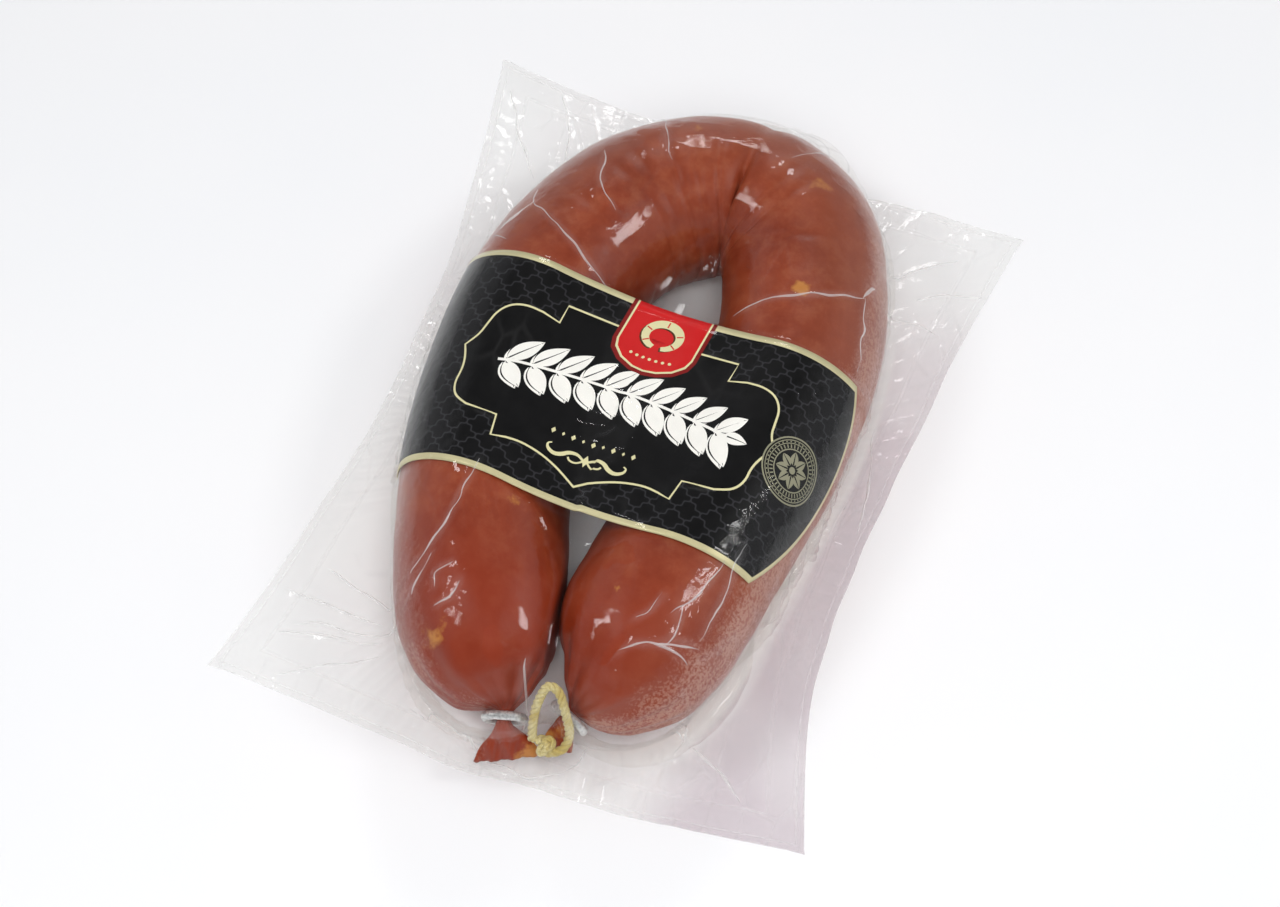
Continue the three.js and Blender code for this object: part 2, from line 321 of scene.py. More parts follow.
AROUND = 168  # points round the casing
LOFT_STEP = 0.7
FOLD_PLACE = (6.6, 67.4)
body = np.array([(x, y, z, r, r) for x, y, z, r in STATIONS])
whole = spline(np.vstack([LEFT_TAIL[::-1], body, RIGHT_TAIL]), LOFT_STEP)
along, side, up = frame_of(whole)
angle = np.linspace(0, 2 * np.pi, AROUND, endpoint=False)  # 0 faces the hole, a quarter turn is the crest
half_width, half_height = whole[:, 3:4], whole[:, 4:5]

# the fold: a crease across the crest that bites deepest on the hole's side
fold = np.argmin(np.linalg.norm(whole[:, :2] - FOLD_PLACE, axis=1))
from_fold = (np.arange(len(whole)) - fold)[:, None] * LOFT_STEP
inward = (1 + np.cos(angle)) / 2
crest = np.clip(np.sin(angle), 0, 1)
bend = 4.6 * inward**2 + 1.7 * crest + 0.5
bite = bend * np.exp(-np.abs(from_fold + 1.6 * crest - inward) / (1.5 + 2.2 * inward))
# wrinkles of the skin squeezed on the inside of the bend, mostly left of the fold:
# distance from the fold, depth and width
WRINKLES = [
    (-7, 0.5, 1.0), (-13, 0.42, 1.2), (-19.5, 0.5, 1.1), (-27, 0.38, 1.4), (-34, 0.3, 1.3),
    (-45, 0.25, 1.5), (9, 0.35, 1.1), (17, 0.3, 1.3), (27, 0.2, 1.4),
]
for place, depth, width in WRINKLES:
    drift = 2.2 * np.sin(1.7 * angle + place)
    fade = soft_step(np.cos(angle - 0.75), -0.15, 0.75)
    bite = bite + depth * fade * np.exp(-(((from_fold - place + drift) / width) ** 2))
# pleats gathered into the necks
small = np.clip((15.5 - half_height) / 12, 0, 1) * (half_height > 1.95)
pleats = 0.055 * half_height * small * (np.abs(np.sin(8 * angle + 0.9 * np.sin(3 * angle))) * 2 - 1.2)
long_pleats = 0.32 * soft_step(21.5 - half_height, 0.0, 5.0) * soft_step(half_height, 4, 10) * np.sin(
    13 * angle + 2.0 * np.sin(2 * angle)
)
trim = -bite + pleats + long_pleats

casing = (
    whole[:, None, :3]
    + side[:, None] * ((half_width + trim) * np.cos(angle))[..., None]
    + up[:, None] * ((half_height + trim) * np.sin(angle))[..., None]
)
spread = casing.reshape(-1, 3)
outward = casing - whole[:, None, :3]
outward /= np.maximum(np.linalg.norm(outward, axis=-1, keepdims=True), 1e-6)
full = soft_step(half_height, 3, 12)[..., None]
uneven = 0.30 * lumps(spread, 46, 3) + 0.13 * lumps(spread, 17, 4) + 0.05 * lumps(spread, 6, 5)
casing += outward * uneven.reshape(len(whole), AROUND)[..., None] * full
print("casing", casing.shape, "points; fold at", np.round(whole[fold, :3], 1))

# %% Press the casing against itself and the table
def roll_off(value, lowest, softness):
    """Values kept above lowest, rolled off smoothly, like flesh against a board."""
    return lowest + softness * np.log1p(np.exp(np.clip((value - lowest) / softness, -40, 40)))


# the upright plane where the two ends touch
TOUCH = np.array([2.8, -63.0])
LEAN = math.radians(8.5)
TABLE_GAP = 0.55  # room for the lower film
across_touch = np.array([math.cos(LEAN), math.sin(LEAN)])
left_limb = np.arange(len(whole))[:, None] < fold
near_ends = (whole[:, None, 1] < -30) & (half_height > 4)
for limb, sign in ((left_limb, 1), (~left_limb, -1)):
    inside = -sign * ((casing[..., :2] - TOUCH) @ across_touch)
    kept = roll_off(inside, 0.25, 0.5)
    move = np.where(limb & near_ends & (inside < 8), inside - kept, 0)
    casing[..., :2] += (sign * move)[..., None] * across_touch
casing[..., 2] = np.where(casing[..., 2] < 12, roll_off(casing[..., 2], TABLE_GAP, 0.7), casing[..., 2])

# the cut tails ruffle
tail = (half_width > 1.05 * half_height) & (np.abs(from_fold) > 100)
ruffle = 0.35 * np.sin(casing[..., 0] * 1.5 + casing[..., 2] * 0.8) + 0.12 * np.sin(casing[..., 0] * 4.1)
casing += up[:, None] * np.where(tail, ruffle * soft_step(half_width, 2, 5), 0)[..., None]
print("lowest point of the casing %.2f mm" % casing[..., 2].min())

# %% [markdown]
# ## Cured meat seen through smoked casing
#
# The skin is a thin translucent collagen casing, brick red from smoke and paprika.  Through it show
# broad clouds of colour, a fine mottle of meat, a few ochre specks of fat that leaked to the skin,
# and, low on the outside, a pinkish frost of small fat flecks and fine wrinkles where the film
# holds it hardest.  A mask made with the shape says where that frost lies.

# %% Casing material
casing_skin, tree, output = new_material("smoked_collagen_casing")
place = add(tree, "TexCoord").outputs["Object"]
clouds = add(tree, "TexNoise", {"Vector": place, "Scale": 1000 / 26, "Detail": 4.0, "Roughness": 0.55})
mottle = add(tree, "TexNoise", {"Vector": place, "Scale": 1000 / 5.5, "Detail": 5.0, "Roughness": 0.7})
flecks = add(tree, "TexNoise", {"Vector": place, "Scale": 1000 / 0.9, "Detail": 2.0, "Roughness": 0.8})
broad = add(
    tree,
    "ValToRGB",
    {"Fac": clouds.outputs["Fac"]},
    [(0.30, "#6b200f"), (0.48, "#7f311b"), (0.60, "#8b381d"), (0.75, "#904328")],
)
meat = add(
    tree,
    "ValToRGB",
    {"Fac": mottle.outputs["Fac"]},
    [(0.30, "#7d311b"), (0.50, "#9c4a2d"), (0.66, "#b86c49")],
)
body_colour = add(
    tree, "MixRGB", {"Fac": 0.28, "Color1": broad.outputs["Color"], "Color2": meat.outputs["Color"]}
)
# the ends are a deeper, warmer red; the outer flank is paler and rosier,
# partly the casing's own tone and partly a painted pinkish sheen
ends = add(tree, "Attribute", attribute_name="ends")
warm = add(
    tree,
    "MixRGB",
    {"Fac": ends.outputs["Fac"], "Color1": body_colour.outputs["Color"], "Color2": linear("#8c2f14")},
)
# ochre fat that has leaked to the skin, in a few ragged blots that the shape places
blot = add(tree, "Attribute", attribute_name="fat")
ragged = add(
    tree, "Math", {0: mottle.outputs["Fac"], 1: 1.5, 2: blot.outputs["Fac"]}, operation="MULTIPLY_ADD"
)
fat = add(
    tree,
    "MapRange",
    {"Value": ragged.outputs[0], "From Min": 1.12, "From Max": 1.42, "To Min": 0.0, "To Max": 0.75},
)
fatty = add(
    tree, "MixRGB", {"Fac": fat.outputs[0], "Color1": warm.outputs["Color"], "Color2": linear("#c98a3e")}
)
# the frost of fat flecks, about a millimetre across, where the mask is strong
frost = add(tree, "Attribute", attribute_name="frost")
strength = add(
    tree, "Math", {0: frost.outputs["Fac"], 1: 0.22, 2: flecks.outputs["Fac"]}, operation="MULTIPLY_ADD"
)
fleck_mask = add(
    tree,
    "MapRange",
    {"Value": strength.outputs[0], "From Min": 0.63, "From Max": 0.74, "To Min": 0.0, "To Max": 0.75},
)
fleck_here = add(tree, "Math", {0: fleck_mask.outputs[0], 1: frost.outputs["Fac"]}, operation="MULTIPLY")
flecked = add(
    tree,
    "MixRGB",
    {"Fac": fleck_here.outputs[0], "Color1": fatty.outputs["Color"], "Color2": linear("#b98a78")},
)
# paler rosy tone on the outer flank and right limb: partly the casing's own colour, partly painted sheen
rosy_and_sheen = add(tree, "Attribute", attribute_name="rosy_and_sheen")
pale = add(tree, "Math", {0: rosy_and_sheen.outputs["Fac"], 1: 0.40}, operation="MULTIPLY")
skin = add(
    tree, "MixRGB", {"Fac": pale.outputs[0], "Color1": flecked.outputs["Color"], "Color2": linear("#99583f")}
)
dry = add(
    tree,
    "MapRange",
    {"Value": mottle.outputs["Fac"], "From Min": 0.3, "From Max": 0.7, "To Min": 0.34, "To Max": 0.50},
)
pores = add(tree, "Bump", {"Height": flecks.outputs["Fac"], "Strength": 0.12, "Distance": 0.2 * MM})
pucker = add(
    tree,
    "Bump",
    {
        "Height": mottle.outputs["Fac"],
        "Strength": 0.25,
        "Distance": 0.5 * MM,
        "Normal": pores.outputs["Normal"],
    },
)
surface = add(
    tree,
    "BsdfPrincipled",
    {
        "Base Color": skin.outputs["Color"],
        "Roughness": dry.outputs[0],
        "IOR": 1.45,
        "Subsurface Weight": 0.06,
        "Subsurface Radius": (1.0, 0.35, 0.2),
        "Subsurface Scale": 1.5 * MM,
        "Normal": pucker.outputs["Normal"],
    },
)
tree.links.new(surface.outputs["BSDF"], output.inputs["Surface"])
print("casing material with", len(tree.nodes), "nodes")

# %% Make the sausage
turned = -np.cos(angle) * np.ones_like(half_width)  # 1 on the outer flank
right_side = soft_step(casing[..., 0], -6, 14)
frost_mask = soft_step(turned, 0.45, 0.95) * (0.45 + 0.50 * right_side)
frost_mask += 0.35 * soft_step(casing[..., 1], 60, 84) * soft_step(turned, -0.2, 0.8)
frost_mask += 0.22 * lumps(spread, 14, 8).reshape(frost_mask.shape) * (frost_mask > 0.05)
# where the rosy tone and the painted pinkish sheen lie: the outer flank of the far bend and the right limb
rosy_and_sheen_mask = soft_step(turned, -0.55, 0.75) * soft_step(casing[..., 1], -10, 60)
rosy_and_sheen_mask += 0.45 * right_side * soft_step(turned, -0.2, 0.7)
# plan place, size in mm and strength of the leaked fat
CREST_BLOTS = [
    (30.6, 33.1, 2.4, 1.0), (25.5, 64.9, 4.0, 0.5), (-19.9, -83.4, 3.4, 0.7), (-10, 72, 3.2, 0.45),
    (-38, 8, 3, 0.5), (40, -20, 3, 0.5), (-14, -46, 2.2, 0.4), (16, -60, 2.6, 0.4), (-25, 62, 3, 0.4),
]
TAIL_BLOTS = [(8.0, -95.5, 4.2, 0.95), (9.5, -91, 3.6, 0.9), (13.0, -88, 2.5, 0.6)]
fat_mask = np.zeros(casing.shape[:2])
for blots, where in ((CREST_BLOTS, casing[..., 2] > AXIS), (TAIL_BLOTS, casing[..., 1] < -86)):
    for x, y, size, amount in blots:
        reach = np.hypot(casing[..., 0] - x, casing[..., 1] - y) / size
        fat_mask = np.maximum(fat_mask, amount * np.exp(-(reach**2)) * where)
fields = {
    "fat": fat_mask,
    "ends": soft_step(-casing[..., 1], 38, 74) * 0.72,
    "frost": np.clip(frost_mask, 0, 1),
    "rosy_and_sheen": np.clip(rosy_and_sheen_mask, 0, 1),
}
shell = casing.reshape(-1, 3)
faces = grid_faces(len(whole), AROUND, closed=True).tolist()
faces += [list(range(AROUND))[::-1], list(range(len(shell) - AROUND, len(shell)))]
sausage = make_object("smoked_sausage", shell, faces, [casing_skin], fields=fields)
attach(sausage, "root")
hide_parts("sausage")
print("sausage faces", len(faces))


# %% [markdown]
# ## The printed band
#
# The band is one strip of coated paper wrapped over both limbs.  It touches only their crests, so
# it bridges the gap between them and bows out at each end.  Its print could be an image, but here
# every ink is a region of the mesh itself: outlines drawn in millimetres on the flat strip are
# triangulated together, each small face takes the ink it lies in, and the flat sheet is then
# wrapped.  Edges stay sharp at any distance.  The print is a generic one: a lattice, a scrolled
# frame, a red shield with a sausage ring on it, a garland of bay leaves, and a round rosette.

# %% Wrap the flat band round the limbs
BAND_CENTRE = np.array([0.0, -12.5])
BAND_TURN = math.radians(-2.3)
BAND_WIDTH = 61.0
LEAVES = math.radians(15)  # where the paper leaves each crest for the bridge
LEFT_REACH, RIGHT_REACH = math.radians(112), math.radians(80)
BULGE = 9.5
BAND_LIFT = 0.55
across_band = np.array([math.cos(BAND_TURN), math.sin(BAND_TURN)])
along_band = np.array([-math.sin(BAND_TURN), math.cos(BAND_TURN)])
middle_of_line = len(LINE) // 2
banded = (LINE[:, 1] > -62) & (LINE[:, 1] < 42)
LEFT_SIDE = LINE[banded & (np.arange(len(LINE)) < middle_of_line)]
RIGHT_SIDE = LINE[banded & (np.arange(len(LINE)) >= middle_of_line)]


def limb_under(limb, v):
    """Where a line across the band meets a limb: how far along the band, how big, how lean."""
    slope = np.gradient(limb[:, :2], axis=0)
    slope /= np.linalg.norm(slope, axis=1, keepdims=True)
    place = (limb[:, :2] - BAND_CENTRE) @ along_band
    order = np.argsort(place)
    far = (limb[:, :2] - BAND_CENTRE) @ across_band
    lean = np.abs(slope @ along_band)
    return [np.interp(v, place[order], values[order]) for values in (far, limb[:, 3], lean)]


def band_section(v, lift):
    """For each v, both limbs and the bridge's middle, half length and sag."""
    left, right = limb_under(LEFT_SIDE, v), limb_under(RIGHT_SIDE, v)
    left[1], right[1] = left[1] + lift, right[1] + lift
    from_left = left[0] + left[1] * math.sin(LEAVES) / left[2]
    from_right = right[0] - right[1] * math.sin(LEAVES) / right[2]
    half = (from_right - from_left) / 2
    return left, right, (from_left + from_right) / 2, half, half * math.tan(LEAVES) / 2


def wrap_band(u, v, lift):
    """Flat band millimetres to space."""
    left, right, middle, half, sag = band_section(v, lift)
    at, radius, lean = [np.where(u < 0, a, b) for a, b in zip(left, right)]
    past = np.abs(u) - half
    turn = past / radius - LEAVES
    x = np.where(past > 0, at + np.sign(u) * radius * np.sin(turn) / lean, middle + u)
    bridge = AXIS + radius * math.cos(LEAVES) - sag * (1 - (u / half) ** 2)
    z = np.where(past > 0, AXIS + radius * np.cos(turn), bridge)
    plan = BAND_CENTRE + np.multiply.outer(x, across_band) + np.multiply.outer(v, along_band)
    return np.concatenate([plan, z[..., None]], -1)


def band_ends(v):
    """The left and right ends of the strip at v."""
    left, right, middle, half, sag = band_section(v, BAND_LIFT)
    bow = BULGE * (2 * v / BAND_WIDTH) ** 2
    return bow - half - left[1] * (LEAVES + LEFT_REACH), half + left[1] * (LEAVES + RIGHT_REACH) - bow


print("band runs from %.0f to %.0f mm on its mid line" % tuple(float(e) for e in band_ends(np.array(0.0))))

# %% Drawing tools
SLANT = 0.08  # the strip was wrapped slightly askew
SHIFT = -1.0


def design(points):
    """Points of the drawing, centred on its own middle, shifted and slanted to flat band millimetres."""
    points = np.asarray(points, float)
    return np.stack([points[:, 0] + SHIFT + SLANT * points[:, 1], points[:, 1]], 1)


def mirrored(half):
    """A closed outline from its right half, given from top to bottom."""
    half = np.asarray(half, float)
    return np.vstack([half, half[::-1] * (-1, 1)])


def round_off(points, passes=2, closed=True):
    """Corner cutting, to turn a drawn polygon into a pen line."""
    points = np.asarray(points, float)
    for _ in range(passes):
        after = np.roll(points, -1, axis=0) if closed else points[1:]
        before = points if closed else points[:-1]
        cut = np.stack([before * 0.75 + after * 0.25, before * 0.25 + after * 0.75], 1).reshape(-1, 2)
        points = cut if closed else np.vstack([points[:1], cut[1:-1], points[-1:]])
    return points


def stroke(points, width, closed=False):
    """A pen stroke as one polygon per segment run; width may taper along it."""
    points = np.asarray(points, float)
    if closed:
        points = np.vstack([points, points[:1]])
    slope = np.gradient(points, axis=0)
    if closed:
        slope[0] = slope[-1] = points[1] - points[-2]
    slope /= np.maximum(np.linalg.norm(slope, axis=1, keepdims=True), 1e-9)
    side_way = np.stack([-slope[:, 1], slope[:, 0]], 1) * (np.ones(len(points)) * width / 2)[:, None]
    low, high = points - side_way, points + side_way
    return [np.array([low[i], low[i + 1], high[i + 1], high[i]]) for i in range(len(points) - 1)]


def circle(centre, radius, sides):
    """A ring of points round a centre."""
    turn = np.linspace(0, 2 * np.pi, sides, endpoint=False)
    return np.asarray(centre) + radius * np.stack([np.cos(turn), np.sin(turn)], 1)


print("a pen stroke through 5 points has", len(stroke(circle((0, 0), 1, 5), 0.1)), "polygons")

# %% [markdown]
# Now the drawing itself.  Shapes are painted one over another, so a line is a thin polygon on top
# of the plain field, and a leaf is two halves with the ground showing between them.

# %% Frame and garland
# inks are painted in this order, the last one on top
shapes = []  # (ink, polygon in flat band mm)


def paint(ink, *polygons):
    """Adds polygons of one ink on top of what is there."""
    shapes.extend((ink, np.asarray(p, float)) for p in polygons)


# the frame: corners notched in, sides drawn to a point, a tip at the bottom
upper_side = [(27, 16.3), (31.5, 16.2), (35, 14.9), (37.2, 12), (37.8, 8.2), (38.3, 4.6), (40.6, 1.4)]
lower_side = [(38.7, -2), (37.7, -5.5), (37.8, -9.6), (36, -13), (32, -14.7)]
base = [(23, -20.6), (17, -18.8), (11, -19.4), (5.5, -21.4), (0, -24.6)]
right_half = [(0, 21.6), (22.5, 21.0), (22.3, 15.6)]
right_half += list(round_off(upper_side, 2, False)) + list(
    round_off([upper_side[-1], *lower_side], 2, False)[1:]
)
right_half += [(24, -15.0)] + list(round_off(base, 2, False))
frame_line = design(mirrored(right_half))
paint("black_plain", frame_line)
paint("cream", *stroke(frame_line, 0.55, closed=True))

# the garland: pairs of bay leaves on an arched stem
def leaf(root, tip, width):
    """Two half leaves with the midrib left open between them."""
    root, tip = np.asarray(root, float), np.asarray(tip, float)
    axis = tip - root
    cross_way = np.array([-axis[1], axis[0]]) / np.linalg.norm(axis)
    t = np.linspace(0, 1, 13)
    swell = np.sin(np.pi * t**0.82) ** 0.85 * width / 2
    rib = root + np.multiply.outer(t, axis)
    gap_width = 0.17 * (1 - t) + 0.05
    halves = []
    for hand in (1, -1):
        inner = rib + hand * np.multiply.outer(np.minimum(gap_width, swell), cross_way)
        outer = rib + hand * np.multiply.outer(swell, cross_way)
        halves.append(np.vstack([inner, outer[-2:0:-1]]))
    return halves


def arch(x):
    """The height of the garland's stem."""
    return 4.2 - 0.0052 * x**2


LEAF_PITCH = 6.05
for i in range(10):
    x = -27.6 + LEAF_PITCH * i
    for hand in (1, -1):
        root = (x - 1.0, arch(x - 1.0) + hand * 0.35)
        tip = (x + 4.9, arch(x + 4.9) + hand * 7.3)
        shadow = [p + np.array([-0.55, -0.75]) for p in leaf(root, tip, 4.3)]
        paint("white", *[design(p) for p in shadow])
        for part in leaf(root, tip, 5.1):
            paint("black_plain", design(part))
        paint("white", *[design(p) for p in leaf(root, tip, 4.3)])
stem = [(x, arch(x)) for x in np.linspace(-30.5, 29, 25)]
paint("white", *[design(p) for p in stroke(stem, 0.75)])
end_leaf = leaf((28, arch(28)), (34.2, arch(34.2) + 1.6), 3.4)
paint("white", *[design(p) for p in end_leaf])

print("frame and garland:", len(shapes), "shapes")

# %% Lozenges and scroll
# a row of small lozenges under the garland, then a scroll
CURL = [
    (0.6, -17.1), (2.4, -16.0), (4.6, -16.3), (6.0, -17.6),
    (8.0, -18.2), (9.9, -17.2), (10.2, -15.9), (9.3, -15.5),
]
SMALL_CURL = [(0.5, -17.3), (2.0, -18.6), (3.8, -18.4), (4.3, -17.6)]
LOZENGES_AT = -12.2
for i in range(9):
    x = -10.4 + 2.6 * i
    size = 0.85 if i % 2 == 0 else 0.55
    half = size * 0.7
    paint(
        "cream",
        design(
            [
                (x, LOZENGES_AT + size),
                (x + half, LOZENGES_AT),
                (x, LOZENGES_AT - size),
                (x - half, LOZENGES_AT),
            ]
        ),
    )
for hand in (1, -1):
    scroll = round_off([(x * hand, y) for x, y in CURL], 2, False)
    taper = 0.35 + 0.75 * np.sin(np.linspace(0.15, 1, len(scroll)) * np.pi) ** 1.5
    paint("cream", *[design(p) for p in stroke(scroll, taper)])
    small_curl = round_off([(x * hand, y) for x, y in SMALL_CURL], 2, False)
    paint("cream", *[design(p) for p in stroke(small_curl, 0.5)])
paint("cream", design([(0, -15.4), (0.8, -17.0), (0, -18.8), (-0.8, -17.0)]))

print("with scroll:", len(shapes), "shapes")

# %% Red shield
# a sausage ring over a row of dots
BADGE = 2.4 - SHIFT - SLANT * 22  # its own middle
# three outlines, each inside the last; the two inner ones run over the strip's edge
half_shield = [(0, 31.5), (11.0, 31.5), (11.0, 18.0), (10.2, 15.2), (7.4, 12.6), (3.6, 11.0), (0, 10.4)]
shield = mirrored(half_shield) + (BADGE, 0)
paint("dark_red", design(shield))
inner_shield = mirrored(
    [(0, 33.5), (10.0, 33.5), (10.0, 18.3), (9.3, 15.9), (6.8, 13.5), (3.2, 12.0), (0, 11.5)]
) + (BADGE, 0)
paint("cream", design(inner_shield))
field_shield = mirrored(
    [(0, 33.5), (9.5, 33.5), (9.5, 18.5), (8.8, 16.3), (6.5, 14.0), (3.0, 12.5), (0, 12.0)]
) + (BADGE, 0)
paint("red", design(field_shield))
bend_turn = np.linspace(-0.42 * np.pi, 1.42 * np.pi, 25)
icon = np.stack([BADGE + 4.3 * np.cos(bend_turn), 22.8 + 3.7 * np.sin(bend_turn)], 1)
fat_pen = 2.3 * np.sin(np.linspace(0.16, np.pi - 0.16, 25)) ** 0.35
paint("gold_shadow", *[design(p + (-0.35, -0.4)) for p in stroke(icon, fat_pen)])
paint("cream", *[design(p) for p in stroke(icon, fat_pen)])
for place in (3, 7, 12, 17, 21):
    outwards = np.array([math.cos(bend_turn[place]), math.sin(bend_turn[place])])
    cut = icon[place] + np.multiply.outer((-0.8, 0.8), outwards)
    paint("red", *[design(p) for p in stroke(cut, 0.35)])
for i in range(7):
    x = BADGE - 5.1 + 1.7 * i
    paint("cream", design(circle((x, 15.4 + 0.018 * (x - BADGE) ** 2), 0.42, 10)))

print("with shield:", len(shapes), "shapes")

# %% Rosette
# a round mark at the right, on the lattice
MEDAL = np.array([46.0, -0.4])
paint("cream_grey", circle(MEDAL, 8.4, 56))
paint("black_plain", circle(MEDAL, 8.0, 56))
for radius, pen in ((7.5, 0.22), (6.7, 0.22), (5.2, 0.3)):
    paint("cream_grey", *stroke(circle(MEDAL, radius, 48), pen, closed=True))
for i in range(40):
    turn = 2 * np.pi * i / 40
    direction = np.array([math.cos(turn), math.sin(turn)])
    paint("cream_grey", circle(MEDAL + 7.1 * direction, 0.2, 6))
    spoke = MEDAL + np.multiply.outer((5.5, 6.4), direction)
    paint("cream_grey", *stroke(spoke, 0.3))
for i in range(8):
    turn = 2 * np.pi * i / 8 + 0.2
    direction = np.array([math.cos(turn), math.sin(turn)])
    paint("cream_grey", *leaf(MEDAL + direction * 1.3, MEDAL + direction * 4.7, 2.3))
paint("cream_grey", circle(MEDAL, 0.9, 14))
print("shapes drawn:", len(shapes))

# %% Cut the flat strip into inked faces
v_line = np.linspace(-BAND_WIDTH / 2, BAND_WIDTH / 2, 50)
left_end, right_end = band_ends(v_line)


def strip_outline(inset_long, inset_end):
    """The strip's outline, drawn in by so much along the long edges and at the ends."""
    v = np.clip(v_line, -BAND_WIDTH / 2 + inset_long, BAND_WIDTH / 2 - inset_long)
    lefts, rights = band_ends(v)
    lefts, rights = lefts + inset_end, rights - inset_end
    bottom = np.linspace(lefts[0], rights[0], 90)[1:-1]
    top = np.linspace(rights[-1], lefts[-1], 90)[1:-1]
    return np.vstack([
        np.stack([bottom, np.full(88, v[0])], 1),
        np.stack([rights, v], 1),
        np.stack([top, np.full(88, v[-1])], 1),
        np.stack([lefts[::-1], v[::-1]], 1),
    ])


outline = strip_outline(0, 0)
border = strip_outline(1.7, 1.1)
layers = [("pale_gold", outline), ("black_lattice", border), *shapes]


def inside(points, polygon):
    """True for the points inside a polygon."""
    low, high = polygon.min(0), polygon.max(0)
    hit = np.zeros(len(points), bool)
    near = np.flatnonzero(((points >= low) & (points <= high)).all(1))
    x, y = points[near, 0], points[near, 1]
    odd = np.zeros(len(near), bool)
    for (x1, y1), (x2, y2) in zip(polygon, np.roll(polygon, -1, axis=0)):
        if y1 != y2:
            odd ^= ((y1 > y) != (y2 > y)) & (x < (x2 - x1) * (y - y1) / (y2 - y1) + x1)
    hit[near] = odd
    return hit


points, edges = [], []
for ink, polygon in layers:
    first = len(points)
    points.extend(polygon.tolist())
    edges.extend((first + i, first + (i + 1) % len(polygon)) for i in range(len(polygon)))
seeds = np.stack(np.meshgrid(np.arange(-84, 74, 1.6), np.arange(-29.6, 30, 1.6)), -1).reshape(-1, 2)
points.extend(seeds[inside(seeds, strip_outline(0.9, 0.9))].tolist())
cut_points, _, cut_faces, *_ = delaunay_2d_cdt([Vector(p) for p in points], edges, [], 0, 1e-4)
cut_points = np.array([tuple(p) for p in cut_points])
cut_faces = np.array([list(f) for f in cut_faces])
centres = cut_points[cut_faces].mean(1)
kept = inside(centres, outline)
cut_faces, centres = cut_faces[kept], centres[kept]
INKS = [
    "pale_gold",
    "black_lattice",
    "black_plain",
    "cream",
    "white",
    "dark_red",
    "red",
    "gold_shadow",
    "cream_grey",
]
ink_of = np.zeros(len(centres), int)
for ink, polygon in layers:
    ink_of[inside(centres, polygon)] = INKS.index(ink)
print("band faces", len(cut_faces), "with", len(set(ink_of.tolist())), "inks")

# %% [markdown]
# ## Inks on coated paper
#
# Each ink is a thin glossy layer on coated paper, so the finish is satin with a faint tooth.  The
# black outside the frame also carries a dark grey lattice, 6.4 mm to the diamond, printed so
# faintly that it only shows where light grazes it; it is drawn by the shader from the flat
# millimetres that each point of the band remembers.

# %% Ink materials
def printed_ink(name, colour, roughness, metallic=0.0):
    """Ink on coated paper: satin, with uneven gloss and the paper's faint tooth."""
    material, tree, output = new_material(name)
    place = add(tree, "TexCoord").outputs["Object"]
    density = add(tree, "TexNoise", {"Vector": place, "Scale": 1000 / 3.0, "Detail": 4.0})
    light_ink = tuple(min(1, c * 1.12 + 0.002) for c in linear(colour)[:3]) + (1,)
    shade = add(
        tree, "MixRGB", {"Fac": density.outputs["Fac"], "Color1": linear(colour), "Color2": light_ink}
    )
    tooth = add(tree, "TexNoise", {"Vector": place, "Scale": 1000 / 0.6, "Detail": 2.0})
    gloss = add(
        tree,
        "MapRange",
        {
            "Value": density.outputs["Fac"],
            "From Min": 0.3,
            "From Max": 0.7,
            "To Min": roughness - 0.05,
            "To Max": roughness + 0.06,
        },
    )
    relief = add(tree, "Bump", {"Height": tooth.outputs["Fac"], "Strength": 0.08, "Distance": 0.1 * MM})
    surface = add(
        tree,
        "BsdfPrincipled",
        {
            "Base Color": shade.outputs["Color"],
            "Roughness": gloss.outputs[0],
            "Metallic": metallic,
            "Specular IOR Level": 0.3,
            "IOR": 1.38,
            "Normal": relief.outputs["Normal"],
        },
    )
    tree.links.new(surface.outputs["BSDF"], output.inputs["Surface"])
    return material, tree, surface, shade


BLACK = "#0c0c0d"
ink_materials = {
    "pale_gold": printed_ink("pale_gold_ink", "#cfc79c", 0.36, 0.25)[0],
    "black_plain": printed_ink("black_ink", BLACK, 0.42)[0],
    "cream": printed_ink("cream_ink", "#d8d2a4", 0.42)[0],
    "white": printed_ink("white_ink", "#f1efe9", 0.45)[0],
    "dark_red": printed_ink("dark_red_ink", "#7c1414", 0.42)[0],
    "red": printed_ink("red_ink", "#c41a1b", 0.40)[0],
    "gold_shadow": printed_ink("brown_ink", "#4a2a14", 0.42)[0],
    "cream_grey": printed_ink("grey_gold_ink", "#8d8b74", 0.42)[0],
}
lattice_black, tree, surface, shade = printed_ink("black_lattice_ink", BLACK, 0.42)
PITCH = 6.4  # of the lattice
PEN_WAVE = 0.42  # how far its lines swing
u_mm = add(tree, "Attribute", attribute_name="u_mm").outputs["Fac"]
v_mm = add(tree, "Attribute", attribute_name="v_mm").outputs["Fac"]
lines = []
for one, other in ((1, -1), (-1, 1)):
    scaled = add(tree, "Math", {0: v_mm, 1: float(one)}, operation="MULTIPLY").outputs[0]
    slant = add(tree, "Math", {0: u_mm, 1: scaled}, operation="ADD").outputs[0]
    counter = add(tree, "Math", {0: u_mm, 1: scaled}, operation="SUBTRACT").outputs[0]
    counter = add(tree, "Math", {0: counter, 1: 4 * math.pi / PITCH}, operation="MULTIPLY").outputs[0]
    wobble = add(tree, "Math", {0: counter}, operation="SINE").outputs[0]
    bent = add(tree, "Math", {0: wobble, 1: PEN_WAVE, 2: slant}, operation="MULTIPLY_ADD").outputs[0]
    bent = add(tree, "Math", {0: bent, 1: math.pi / PITCH}, operation="MULTIPLY").outputs[0]
    wave = add(tree, "Math", {0: bent}, operation="SINE").outputs[0]
    lines.append(add(tree, "Math", {0: wave}, operation="ABSOLUTE").outputs[0])
